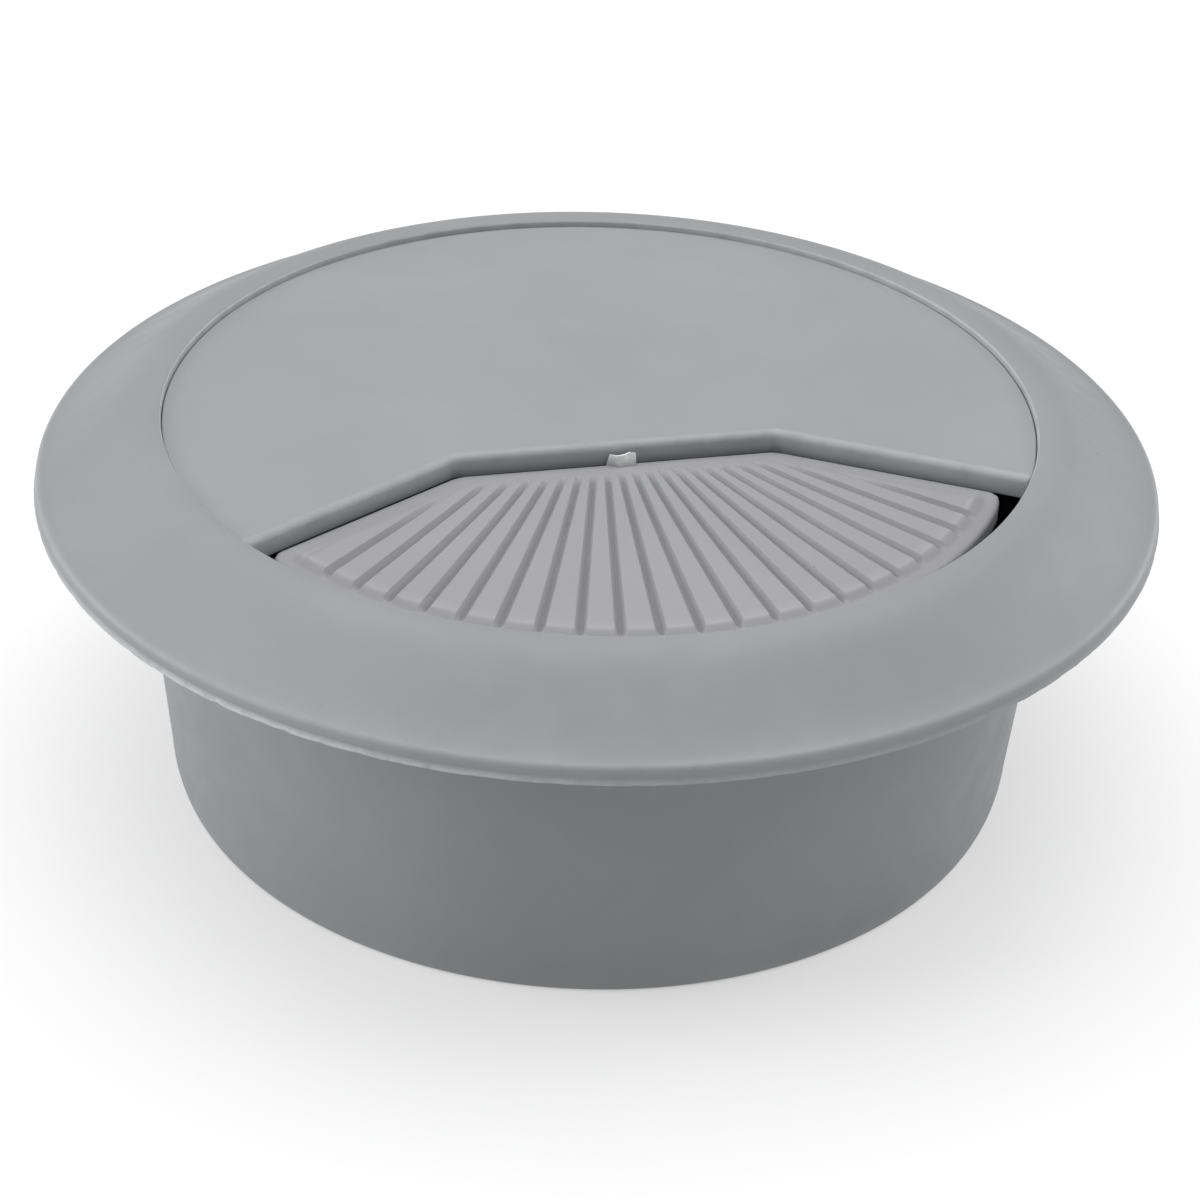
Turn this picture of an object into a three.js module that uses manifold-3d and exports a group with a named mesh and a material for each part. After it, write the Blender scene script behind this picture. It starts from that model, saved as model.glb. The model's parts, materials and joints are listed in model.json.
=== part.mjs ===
// Round desk grommet for a 60 mm cable hole: a flanged liner, a cap that turns in it, and a
// sprung flap, ribbed like a fan, that closes the cap's cut-out. Millimetres, +Z up.
// The origin is the centre of the sleeve's lower rim. The cut-out and the flap face -Y.
import * as THREE from 'three';
import { mergeVertices } from 'three/addons/utils/BufferGeometryUtils.js';
import Module from 'manifold-3d';

const wasm = await Module();
wasm.setup();

// ---- driving dimensions ----

// liner: the sleeve goes down the hole, the flange lies on the desk
const SEAT_Z = 21.1; // the flange's underside, which is the desk's surface
const SLEEVE_TOP_RADIUS = 29.85;
const SLEEVE_FOOT_RADIUS = 28.3;
const SLEEVE_WALL = 1.55;
const FOOT_ROUND_RADIAL = 0.75;
const FOOT_ROUND_HEIGHT = 2.3;
const FLANGE_RADIUS = 36.1;
const LIP_HEIGHT = 1.1; // the flange's upright edge
const LIP_ROUND = 0.35;
const LIP_DRAFT = 0.1;
const RIM_FACE_INNER_RADIUS = 34.2; // the flat ring that bears on the desk runs out from here
const CREST_RADIUS = 28.53; // the flange is highest here
const CREST_Z = SEAT_Z + 4.52;
const CREST_ROUND = 5.0; // a broad round, from the well's edge to the top of the slope
const WELL_EDGE_ROUND = 0.3;
const CREST_TILT = THREE.MathUtils.degToRad(24.5); // the flange's slope where the crest's round ends
const LIP_TILT = THREE.MathUtils.degToRad(16); // and where it meets the upright edge
const SLOPE_EASE = 1.6; // how far each of those two slopes carries into the curve between them
const HOLLOW_INNER_RADIUS = 30.65; // the flange is hollow underneath, between the sleeve and its rim
const HOLLOW_INNER_HEIGHT = 1.95;
const HOLLOW_CORNER = 0.4;
const HOLLOW_OUTER_RADIUS = 33.7;
const HOLLOW_OUTER_HEIGHT = 0.35;
const WELL_RADIUS = 28.15; // the upright wall round the cap
const LEDGE_RADIUS = 27.2; // the cap rests on this ledge
const LEDGE_THICKNESS = 1.15;

// cap
const CAP_RADIUS = 27.83;
const CAP_TOP_Z = SEAT_Z + 4.06;
const CAP_THICKNESS = 1.6;
const CAP_UNDER_Z = CAP_TOP_Z - CAP_THICKNESS;
const CAP_EDGE_ROUND = 0.3;
const LEDGE_GAP = 0.3;
const WALL_Y = -5.0; // the cut-out's middle wall
const WALL_HALF_LENGTH = 10.3;
const WING_ANGLE = THREE.MathUtils.degToRad(31); // the side walls slant forward by this
const SKIRT_OUTER_RADIUS = 26.9;
const SKIRT_WALL = 1.2;
const SKIRT_DEPTH = 1.6;
const SKIRT_START = THREE.MathUtils.degToRad(74); // measured from the front, on each side
const HOOK_ANGLES = [88, 146, 214, 272].map(THREE.MathUtils.degToRad);
const HOOK_SPAN = THREE.MathUtils.degToRad(15);
const HOOK_REACH = 0.85; // how far a hook stands out past the skirt
const HOOK_CATCH = 0.4; // height of the hook's upright nose
const HOOK_LEAD = 1.5; // height of the slope under the nose
const HOOK_TIP_INSET = 0.3;

// flap
const FLAP_RECESS = 1.15; // the flap's ribs lie this far below the cap's top
const FLAP_GAP = 0.3;
const FLAP_RADIUS = 26.2;
const FLAP_THICKNESS = 1.8;
const FLAP_CORNER = 1.0;
const BORDER_DROP = 0.3; // the flap's front border lies this far below the ribs
const RIB_COUNT = 23;
const RIB_PITCH = THREE.MathUtils.degToRad(4.617);
const RIB_TIP_RADIUS = 24.9;
const PLAIN_STRIP = 1.0; // no grooves this close to the flap's back edge
const GROOVE_DEPTH = 0.35;
const FAN_APEX_X = 0.9; // the grooves run out from this point behind the cap's centre
const FAN_APEX_Y = 3.75;
const FAN_TURN = THREE.MathUtils.degToRad(-3.22);
const GROOVE_WIDTH_BACK = 0.42;
const GROOVE_WIDTH_FRONT = 0.7;
const STUB_WIDTH = 1.7;
const STUB_HEIGHT = 0.75;
const STUB_FRONT_HEIGHT = 0.6;
const STUB_DEPTH = 0.35;
const STUB_X = 0.25;

// hinge: a steel pin through two lugs under the cap and two knuckles on the flap
const HINGE_Y = -2.6;
const HINGE_DROP = 2.1; // from the cap's underside to the pin's centre line
const HINGE_Z = CAP_UNDER_Z - HINGE_DROP;
const PIN_RADIUS = 0.9;
const PIN_CHAMFER = 0.25;
const PIN_LENGTH = 19.4;
const PIN_BORE_RADIUS = 1.0;
const KNUCKLE_RADIUS = 1.8;
const KNUCKLE_INNER_X = 5.0;
const KNUCKLE_OUTER_X = 7.2;
const WEB_TOP_START = 0.5; // the web under the leaf behind each knuckle, from the leaf's back edge
const WEB_LENGTH = 4.5;
const WEB_END_HEIGHT = 0.3;
const WEB_FOOT_START = 1.5;
const WEB_FOOT_DROP = 1.02;
const LUG_INNER_X = 7.5;
const LUG_OUTER_X = 9.2;
const LUG_RADIUS = 1.95;
const HEEL_RADIUS = 2.6; // the heel meets the cap's underside when the flap is fully open
const FLAP_TRAVEL = THREE.MathUtils.degToRad(65);

// torsion spring round the pin
const WIRE_RADIUS = 0.25;
const COIL_RADIUS = 1.5;
const COIL_PITCH = 0.62;
const COIL_TURNS = 7;
const FIXED_LEG = 8.0;
const FIXED_LEG_TILT = THREE.MathUtils.degToRad(20);
const FLAP_LEG = 8.4;
const FLAP_LEG_TILT = THREE.MathUtils.degToRad(12);

const OVERLAP = 0.2; // how far shapes that are joined run into each other
const OVERSHOOT = 1; // how far cutting shapes run past the faces they cut
const ROUND_SEGMENTS = 96;
const SMALL_ROUND_SEGMENTS = 28;
const SKIRT_SEGMENTS = 56;
const LUG_SEGMENTS = 12;
const LEAF_FRONT_SEGMENTS = 40;
const EDGE_SEGMENTS = 3;

// ---- materials ----

function plastic(color) {
  return new THREE.MeshStandardMaterial({ color, roughness: 0.62, metalness: 0 });
}

const linerPlastic = plastic(0x9c9da0);
const capPlastic = plastic(0xa6a9aa);
const flapPlastic = plastic(0xababad);
const steel = new THREE.MeshStandardMaterial({ color: 0xb9bcc0, roughness: 0.3, metalness: 1 });

// ---- helpers ----

// A closed geometry as a solid that can be joined and cut.
function solid(geometry) {
  const bare = geometry.clone();
  bare.deleteAttribute('normal');
  bare.deleteAttribute('uv');
  const merged = mergeVertices(bare, 1e-4);
  return new wasm.Manifold(new wasm.Mesh({
    numProp: 3,
    vertProperties: new Float32Array(merged.attributes.position.array),
    triVerts: new Uint32Array(merged.index.array),
  }));
}

function meshOf(name, manifold, material) {
  const { vertProperties, triVerts } = manifold.getMesh();
  const geometry = new THREE.BufferGeometry();
  geometry.setAttribute('position', new THREE.BufferAttribute(new Float32Array(vertProperties), 3));
  geometry.setIndex(new THREE.BufferAttribute(new Uint32Array(triVerts), 1));
  geometry.computeVertexNormals();
  return namedMesh(name, geometry, material);
}

function namedMesh(name, geometry, material) {
  const mesh = new THREE.Mesh(geometry, material);
  mesh.name = name;
  return mesh;
}

// A profile of [radius, height] points turned about Z. It runs up the outer side.
function turned(profile, segments = ROUND_SEGMENTS, start = 0, sweep = 2 * Math.PI) {
  const points = profile.map(([r, z]) => new THREE.Vector2(r, z));
  return new THREE.LatheGeometry(points, segments, start, sweep).rotateX(Math.PI / 2);
}

// An outline in the XY plane, pulled up from z0 to z1.
function plate(points, z0, z1) {
  const shape = new THREE.Shape(points.map(([x, y]) => new THREE.Vector2(x, y)));
  return new THREE.ExtrudeGeometry(shape, { depth: z1 - z0, bevelEnabled: false }).translate(0, 0, z0);
}

// An outline in the YZ plane, pulled along X from x0 to x1.
function slice(points, x0, x1) {
  const shape = new THREE.Shape(points.map(([y, z]) => new THREE.Vector2(y, z)));
  const turn = new THREE.Matrix4().makeBasis(
    new THREE.Vector3(0, 1, 0),
    new THREE.Vector3(0, 0, 1),
    new THREE.Vector3(1, 0, 0),
  );
  const geometry = new THREE.ExtrudeGeometry(shape, { depth: x1 - x0, bevelEnabled: false });
  return geometry.applyMatrix4(turn).translate(x0, 0, 0);
}

// A bar of round section along X, centred on the hinge line.
function hingeCylinder(radius, x0, x1) {
  const bar = new THREE.CylinderGeometry(radius, radius, x1 - x0, SMALL_ROUND_SEGMENTS);
  return bar.rotateZ(Math.PI / 2).translate((x0 + x1) / 2, HINGE_Y, HINGE_Z);
}

// Points along an arc, both ends included. Angles in radians, anticlockwise from the first axis.
function arc(cx, cy, rx, ry, from, to, steps) {
  return Array.from({ length: steps + 1 }, (_, i) => {
    const a = from + ((to - from) * i) / steps;
    return [cx + rx * Math.cos(a), cy + ry * Math.sin(a)];
  });
}

function joined(solids) {
  return solids.reduce((whole, piece) => whole.add(piece));
}

// ---- liner ----

// The flange's top as [radius, height] points: a curved slope up from the lip, then the crest.
function flangeTop() {
  const centreZ = CREST_Z - CREST_ROUND;
  const crestStart = Math.PI / 2 - CREST_TILT;
  const edgeRadius = WELL_RADIUS + WELL_EDGE_ROUND;
  const crestEnd = Math.acos((edgeRadius - CREST_RADIUS) / CREST_ROUND);
  const crest = arc(CREST_RADIUS, centreZ, CREST_ROUND, CREST_ROUND, crestStart, crestEnd, 5);
  const edgeZ = crest.at(-1)[1] - WELL_EDGE_ROUND;
  const edge = arc(edgeRadius, edgeZ, WELL_EDGE_ROUND, WELL_EDGE_ROUND, Math.PI / 2, Math.PI, 4);
  const foot = new THREE.Vector2(FLANGE_RADIUS - LIP_ROUND / 2, SEAT_Z + LIP_HEIGHT);
  const head = new THREE.Vector2(...crest[0]);
  const outward = new THREE.Vector2(Math.cos(CREST_TILT), -Math.sin(CREST_TILT));
  const inward = new THREE.Vector2(-Math.cos(LIP_TILT), Math.sin(LIP_TILT));
  const slope = new THREE.CubicBezierCurve(
    foot,
    foot.clone().addScaledVector(inward, SLOPE_EASE),
    head.clone().addScaledVector(outward, SLOPE_EASE),
    head,
  );
  const points = slope.getPoints(7).map((p) => [p.x, p.y]);
  return [...points.slice(0, -1), ...crest.slice(0, -1), ...edge];
}

function makeLiner() {
  const sleeveInner = (z) => {
    const outer = THREE.MathUtils.lerp(SLEEVE_FOOT_RADIUS, SLEEVE_TOP_RADIUS, z / SEAT_Z);
    return outer - SLEEVE_WALL;
  };
  const footRadius = SLEEVE_FOOT_RADIUS - FOOT_ROUND_RADIAL;
  const foot = arc(
    footRadius, FOOT_ROUND_HEIGHT, FOOT_ROUND_RADIAL, FOOT_ROUND_HEIGHT, -Math.PI / 2, 0, 6,
  );
  const ledgeTop = CAP_UNDER_Z - LEDGE_GAP;
  const ledgeFoot = ledgeTop - LEDGE_THICKNESS;
  const profile = [
    [sleeveInner(0), 0],
    ...foot,
    [SLEEVE_TOP_RADIUS, SEAT_Z],
    [SLEEVE_TOP_RADIUS, SEAT_Z + HOLLOW_INNER_HEIGHT - HOLLOW_CORNER],
    [HOLLOW_INNER_RADIUS, SEAT_Z + HOLLOW_INNER_HEIGHT],
    [HOLLOW_OUTER_RADIUS, SEAT_Z + HOLLOW_OUTER_HEIGHT],
    [RIM_FACE_INNER_RADIUS, SEAT_Z],
    [FLANGE_RADIUS - LIP_DRAFT, SEAT_Z],
    [FLANGE_RADIUS, SEAT_Z + LIP_HEIGHT - LIP_ROUND],
    ...flangeTop(),
    [WELL_RADIUS, ledgeTop],
    [LEDGE_RADIUS, ledgeTop],
    [LEDGE_RADIUS, ledgeFoot],
    [sleeveInner(ledgeFoot), ledgeFoot],
    [sleeveInner(0), 0],
  ];
  return meshOf('liner', solid(turned(profile)), linerPlastic);
}

// ---- cap ----

// The cut-out's outline, moved forward from its walls by a gap, on one side of the middle.
function wingLine(gap) {
  const forward = new THREE.Vector2(Math.cos(WING_ANGLE), -Math.sin(WING_ANGLE));
  const y = WALL_Y - gap;
  const x = WALL_HALF_LENGTH - gap * Math.tan(WING_ANGLE / 2);
  return { corner: new THREE.Vector2(x, y), forward };
}

// How far along a line from its start it meets a circle about the origin.
function reachOfCircle(start, direction, radius) {
  const half = start.dot(direction);
  return -half + Math.sqrt(half * half - start.lengthSq() + radius * radius);
}

function mirrored(points) {
  return points.map(([x, y]) => [-x, y]).reverse();
}

function ringSector(inner, outer, z0, z1, from, to, steps) {
  const outside = arc(0, 0, outer, outer, from, to, steps);
  const inside = arc(0, 0, inner, inner, to, from, steps);
  return plate([...outside, ...inside], z0, z1);
}

function makeHook(angle) {
  const nose = SKIRT_OUTER_RADIUS + HOOK_REACH;
  const inner = SKIRT_OUTER_RADIUS - SKIRT_WALL;
  const catchTop = CAP_UNDER_Z - 2 * LEDGE_GAP - LEDGE_THICKNESS;
  const tipZ = catchTop - HOOK_CATCH - HOOK_LEAD;
  const rootZ = CAP_UNDER_Z + OVERLAP;
  const profile = [
    [inner, tipZ],
    [SKIRT_OUTER_RADIUS - HOOK_TIP_INSET, tipZ],
    [nose, catchTop - HOOK_CATCH],
    [nose, catchTop],
    [SKIRT_OUTER_RADIUS, catchTop],
    [SKIRT_OUTER_RADIUS, rootZ],
    [inner, rootZ],
  ];
  const shape = new THREE.Shape(profile.map(([r, z]) => new THREE.Vector2(r, z)));
  const width = SKIRT_OUTER_RADIUS * HOOK_SPAN;
  const hook = new THREE.ExtrudeGeometry(shape, { depth: width, bevelEnabled: false });
  hook.translate(0, 0, -width / 2).rotateX(Math.PI / 2);
  return solid(hook.rotateZ(angle - Math.PI / 2));
}

function capDisc() {
  const round = CAP_EDGE_ROUND;
  const edge = CAP_RADIUS - round;
  return solid(turned([
    [0, CAP_UNDER_Z],
    ...arc(edge, CAP_UNDER_Z + round, round, round, -Math.PI / 2, 0, EDGE_SEGMENTS),
    ...arc(edge, CAP_TOP_Z - round, round, round, 0, Math.PI / 2, EDGE_SEGMENTS),
    [0, CAP_TOP_Z],
  ]));
}

function makeCap() {
  const { corner, forward } = wingLine(0);
  const far = corner.clone().addScaledVector(forward, 2 * CAP_RADIUS);
  const rightSide = [[far.x, far.y], [corner.x, corner.y]];
  const cutOutOutline = [...rightSide, ...mirrored(rightSide)];
  const cutOut = solid(plate(cutOutOutline, CAP_UNDER_Z - OVERSHOOT, CAP_TOP_Z + OVERSHOOT));
  const skirtStart = -Math.PI / 2 + SKIRT_START;
  const skirt = solid(ringSector(
    SKIRT_OUTER_RADIUS - SKIRT_WALL, SKIRT_OUTER_RADIUS,
    CAP_UNDER_Z - SKIRT_DEPTH, CAP_UNDER_Z + OVERLAP,
    skirtStart, Math.PI - skirtStart, SKIRT_SEGMENTS,
  ));
  const lugOutline = [
    ...arc(HINGE_Y, HINGE_Z, LUG_RADIUS, LUG_RADIUS, -Math.PI, 0, LUG_SEGMENTS),
    [HINGE_Y + LUG_RADIUS, CAP_UNDER_Z + OVERLAP],
    [HINGE_Y - LUG_RADIUS, CAP_UNDER_Z + OVERLAP],
  ];
  const lugs = [
    solid(slice(lugOutline, -LUG_OUTER_X, -LUG_INNER_X)),
    solid(slice(lugOutline, LUG_INNER_X, LUG_OUTER_X)),
  ];
  const boreEnd = LUG_OUTER_X + OVERSHOOT;
  const bore = solid(hingeCylinder(PIN_BORE_RADIUS, -boreEnd, boreEnd));
  const hooks = HOOK_ANGLES.map(makeHook);
  const whole = joined([capDisc().subtract(cutOut), skirt, ...hooks, ...lugs]);
  return meshOf('cap', whole.subtract(bore), capPlastic);
}

// ---- flap ----

// The leaf's outline: back edges a gap in front of the cut-out's walls, and a round front.
function leafOutline(gap, radius, cornerRound) {
  const { corner, forward } = wingLine(gap);
  const tip = corner.clone().addScaledVector(forward, reachOfCircle(corner, forward, radius));
  const roundStart = tip.clone().addScaledVector(forward, -cornerRound);
  const frontEnd = Math.atan2(tip.y, tip.x) - cornerRound / radius;
  const roundEnd = new THREE.Vector2(radius * Math.cos(frontEnd), radius * Math.sin(frontEnd));
  const round = new THREE.QuadraticBezierCurve(roundStart, tip, roundEnd);
  const rightCorner = round.getPoints(4).map((p) => [p.x, p.y]);
  const front = arc(0, 0, radius, radius, frontEnd, -Math.PI - frontEnd, LEAF_FRONT_SEGMENTS);
  const backRight = [[corner.x, corner.y], ...rightCorner];
  return [...backRight, ...front.slice(1, -1), ...mirrored(backRight)];
}

// One groove of the fan. Grooves part the ribs and widen towards the front.
function makeGroove(index, z0, z1) {
  const angle = FAN_TURN + (index - RIB_COUNT / 2) * RIB_PITCH;
  const along = new THREE.Vector2(Math.sin(angle), -Math.cos(angle));
  const across = new THREE.Vector2(Math.cos(angle), Math.sin(angle));
  const apex = new THREE.Vector2(FAN_APEX_X, FAN_APEX_Y);
  const backReach = (FAN_APEX_Y - WALL_Y + FLAP_GAP + PLAIN_STRIP) / Math.cos(angle);
  const frontReach = reachOfCircle(apex, along, FLAP_RADIUS);
  const corners = [
    [backReach, -GROOVE_WIDTH_BACK],
    [frontReach, -GROOVE_WIDTH_FRONT],
    [frontReach, GROOVE_WIDTH_FRONT],
    [backReach, GROOVE_WIDTH_BACK],
  ];
  return solid(plate(corners.map(([reach, width]) => {
    const p = apex.clone().addScaledVector(along, reach).addScaledVector(across, width / 2);
    return [p.x, p.y];
  }), z0, z1));
}

function knuckleOutline(plateUnder) {
  const heelAngle = Math.asin((HINGE_DROP - LEDGE_GAP) / HEEL_RADIUS) - FLAP_TRAVEL;
  const heel = [
    HINGE_Y + HEEL_RADIUS * Math.cos(heelAngle),
    HINGE_Z + HEEL_RADIUS * Math.sin(heelAngle),
  ];
  const lean = Math.acos(KNUCKLE_RADIUS / HEEL_RADIUS);
  const behind = arc(
    HINGE_Y, HINGE_Z, KNUCKLE_RADIUS, KNUCKLE_RADIUS, -Math.PI / 2, heelAngle - lean, 3,
  );
  const above = arc(
    HINGE_Y, HINGE_Z, KNUCKLE_RADIUS, KNUCKLE_RADIUS, heelAngle + lean, Math.PI / 2, 6,
  );
  const root = WALL_Y - FLAP_GAP;
  return [
    ...behind,
    heel,
    ...above,
    [root - WEB_TOP_START, HINGE_Z + KNUCKLE_RADIUS],
    [root - WEB_LENGTH, plateUnder + WEB_END_HEIGHT],
    [root - WEB_LENGTH, plateUnder - WEB_END_HEIGHT],
    [root - WEB_FOOT_START, HINGE_Z - WEB_FOOT_DROP],
  ];
}

function makeFlap() {
  const ribTop = CAP_TOP_Z - FLAP_RECESS;
  const borderTop = ribTop - BORDER_DROP;
  const plateUnder = ribTop - FLAP_THICKNESS;
  const leaf = solid(plate(leafOutline(FLAP_GAP, FLAP_RADIUS, FLAP_CORNER), plateUnder, ribTop));
  const step = solid(ringSector(
    RIB_TIP_RADIUS, FLAP_RADIUS + OVERSHOOT, borderTop, ribTop + OVERSHOOT,
    -Math.PI, 0, ROUND_SEGMENTS,
  ));
  const grooves = Array.from({ length: RIB_COUNT - 1 }, (_, i) => (
    makeGroove(i + 1, ribTop - GROOVE_DEPTH, ribTop + OVERSHOOT)
  ));
  const ribbedLeaf = leaf.subtract(joined([step, ...grooves]));
  const knuckle = knuckleOutline(plateUnder);
  const knuckles = [
    solid(slice(knuckle, -KNUCKLE_OUTER_X, -KNUCKLE_INNER_X)),
    solid(slice(knuckle, KNUCKLE_INNER_X, KNUCKLE_OUTER_X)),
  ];
  const boreEnd = KNUCKLE_OUTER_X + OVERSHOOT;
  const bore = solid(hingeCylinder(PIN_BORE_RADIUS, -boreEnd, boreEnd));
  const stubBack = WALL_Y - FLAP_GAP;
  const stub = solid(slice([
    [stubBack - STUB_DEPTH, ribTop - OVERLAP],
    [stubBack, ribTop - OVERLAP],
    [stubBack, ribTop + STUB_HEIGHT],
    [stubBack - STUB_DEPTH / 2, ribTop + STUB_FRONT_HEIGHT],
  ], STUB_X - STUB_WIDTH / 2, STUB_X + STUB_WIDTH / 2));
  return meshOf('flap', joined([ribbedLeaf, ...knuckles, stub]).subtract(bore), flapPlastic);
}

// ---- hinge pin and spring ----

function makePin() {
  const half = PIN_LENGTH / 2;
  const profile = [
    [0, -half],
    [PIN_RADIUS - PIN_CHAMFER, -half],
    [PIN_RADIUS, -half + PIN_CHAMFER],
    [PIN_RADIUS, half - PIN_CHAMFER],
    [PIN_RADIUS - PIN_CHAMFER, half],
    [0, half],
  ];
  const pin = turned(profile, SMALL_ROUND_SEGMENTS).rotateY(Math.PI / 2);
  return meshOf('hinge_pin', solid(pin.translate(0, HINGE_Y, HINGE_Z)), steel);
}

// The wire's centreline: a leg under the cap, the coil from -X to +X, and a leg under the flap.
class SpringLine extends THREE.Curve {
  constructor() {
    super();
    this.startAngle = FIXED_LEG_TILT - Math.PI / 2;
    this.windingAngle = 2 * Math.PI * COIL_TURNS + FIXED_LEG_TILT + FLAP_LEG_TILT;
    this.coilLength = this.windingAngle * COIL_RADIUS;
    this.total = FIXED_LEG + this.coilLength + FLAP_LEG;
    this.halfWidth = (COIL_PITCH * COIL_TURNS) / 2;
  }

  onCoil(share) {
    const angle = this.startAngle - share * this.windingAngle;
    return new THREE.Vector3(
      THREE.MathUtils.lerp(-this.halfWidth, this.halfWidth, share),
      HINGE_Y + COIL_RADIUS * Math.cos(angle),
      HINGE_Z + COIL_RADIUS * Math.sin(angle),
    );
  }

  getPoint(t, target = new THREE.Vector3()) {
    const along = t * this.total;
    if (along < FIXED_LEG) {
      const rest = FIXED_LEG - along;
      const leg = new THREE.Vector3(0, Math.cos(FIXED_LEG_TILT), Math.sin(FIXED_LEG_TILT));
      return target.copy(this.onCoil(0)).addScaledVector(leg, rest);
    }
    if (along > FIXED_LEG + this.coilLength) {
      const past = along - FIXED_LEG - this.coilLength;
      const leg = new THREE.Vector3(0, -Math.cos(FLAP_LEG_TILT), Math.sin(FLAP_LEG_TILT));
      return target.copy(this.onCoil(1)).addScaledVector(leg, past);
    }
    return target.copy(this.onCoil((along - FIXED_LEG) / this.coilLength));
  }
}

function makeSpring() {
  const sides = 6;
  const outline = arc(0, 0, WIRE_RADIUS, WIRE_RADIUS, 0, 2 * Math.PI, sides).slice(0, sides);
  const section = new THREE.Shape(outline.map(([x, y]) => new THREE.Vector2(x, y)));
  const line = new SpringLine();
  const steps = 2 * Math.round(line.total);
  const wire = new THREE.ExtrudeGeometry(section, {
    steps, bevelEnabled: false, extrudePath: line,
  });
  return meshOf('return_spring', solid(wire), steel);
}

const grommet = new THREE.Group();
grommet.name = 'desk_grommet';
grommet.add(makeLiner(), makeCap(), makeFlap(), makePin(), makeSpring());

export default grommet;
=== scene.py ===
"""Round desk grommet: a flanged liner, a cap that turns in it and a sprung, ribbed flap.

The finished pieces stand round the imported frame, in a pale studio. Lengths are in millimetres,
and become metres where a mesh, a light or the camera is made. The origin is the centre of the
sleeve's lower rim, +Z is up, and the cap's cut-out and its flap face -Y.
"""

import json
import math

import bmesh
import bpy
import numpy as np
from mathutils import Matrix, Vector, noise


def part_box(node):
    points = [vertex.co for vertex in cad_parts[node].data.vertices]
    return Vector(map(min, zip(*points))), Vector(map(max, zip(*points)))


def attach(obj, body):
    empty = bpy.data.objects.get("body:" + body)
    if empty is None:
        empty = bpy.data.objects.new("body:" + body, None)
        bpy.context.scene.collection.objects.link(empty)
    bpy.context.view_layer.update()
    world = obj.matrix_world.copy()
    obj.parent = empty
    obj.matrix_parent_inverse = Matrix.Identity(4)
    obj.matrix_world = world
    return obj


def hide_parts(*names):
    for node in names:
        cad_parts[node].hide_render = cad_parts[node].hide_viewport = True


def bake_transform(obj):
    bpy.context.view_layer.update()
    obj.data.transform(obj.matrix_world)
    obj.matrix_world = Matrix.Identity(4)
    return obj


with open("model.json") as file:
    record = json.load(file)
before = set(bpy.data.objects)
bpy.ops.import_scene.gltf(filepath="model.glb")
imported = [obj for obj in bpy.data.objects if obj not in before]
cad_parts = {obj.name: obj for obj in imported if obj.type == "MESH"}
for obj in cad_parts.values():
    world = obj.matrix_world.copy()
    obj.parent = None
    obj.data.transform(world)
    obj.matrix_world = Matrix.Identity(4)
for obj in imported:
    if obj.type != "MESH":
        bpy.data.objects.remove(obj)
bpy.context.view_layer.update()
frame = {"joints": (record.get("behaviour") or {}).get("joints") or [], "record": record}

MM = 0.001

# ---- places taken from the frame ----


def box_mm(node):
    low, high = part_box(node)
    return low / MM, high / MM


def joint_place(name):
    joint = next(j for j in frame["joints"] if j["name"] == name)
    return Vector(joint["pos_m"]) / MM


def mount_place(name):
    mount = next(m for m in frame["record"]["mounts"] if m["name"] == name)
    return Vector(mount["pos_m"]) / MM


SEAT_Z = mount_place("flange_seat").z
FLANGE_RADIUS = box_mm("liner")[1].x
CREST_Z = box_mm("liner")[1].z
CAP_RADIUS = box_mm("cap")[1].y
CAP_TOP_Z = box_mm("cap")[1].z
FLAP_RADIUS = -box_mm("flap")[0].y
HINGE_Y = joint_place("flap_hinge").y
HINGE_Z = joint_place("flap_hinge").z
PIN_HALF_LENGTH = box_mm("hinge_pin")[1].x
PIN_RADIUS = box_mm("hinge_pin")[1].z - HINGE_Z

# ---- the liner's section ----

SLEEVE_FOOT_RADIUS = 28.3
SLEEVE_TOP_RADIUS = 29.85
SLEEVE_WALL = 1.55
FOOT_ROUND_RADIAL = 0.75
FOOT_ROUND_HEIGHT = 2.3
SLEEVE_CORNER = 0.2
LIP_HEIGHT = 1.1
LIP_RADIUS = FLANGE_RADIUS - 0.17  # the upright edge, above the mould flash at its foot
LIP_LEAN = 0.1
LIP_ROUND = 0.5
LIP_TOP_ROUND = 0.85 * LIP_ROUND
SLOPE_FOOT = 0.75  # how far in from the upright edge the slope ends, as a share of LIP_ROUND
FLASH_HEIGHT = 0.42
FLASH_THICKNESS = 0.12
FLASH_RAGGED = 0.09
FLASH_CORNER = 0.04
RIM_FACE_INNER_RADIUS, RIM_FACE_CORNER = 34.2, 0.1
WELL_RADIUS = 27.88
WELL_EDGE_ROUND = 0.2
CREST_RADIUS = 28.53
CREST_ROUND = 4.0
CREST_TILT = math.radians(24.5)  # the flange's slope where the crest's round ends
LIP_TILT = math.radians(16)  # and where it meets the upright edge
SLOPE_EASE = 1.6
HOLLOW_INNER_RADIUS, HOLLOW_INNER_Z = 30.65, SEAT_Z + 1.95
HOLLOW_OUTER_RADIUS, HOLLOW_OUTER_Z = 33.7, SEAT_Z + 0.35
HOLLOW_CHAMFER = 0.4
LEDGE_RADIUS = 27.2
LEDGE_THICKNESS = 1.15
LEDGE_ROOT = 0.3
LINER_SEGMENTS = 480
LONGEST_STRETCH = 1.6
FOOT_STEPS, SLOPE_STEPS, CREST_STEPS, EDGE_STEPS = 12, 20, 10, 8

# ---- what the mouldings share ----

MOULD_EDGE = 0.12  # the small round on edges that have none of their own
JOIN_OVERLAP = 0.3  # how far a joined piece reaches into its neighbour
BAR_SIDES = 48

# ---- the cap ----

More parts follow.
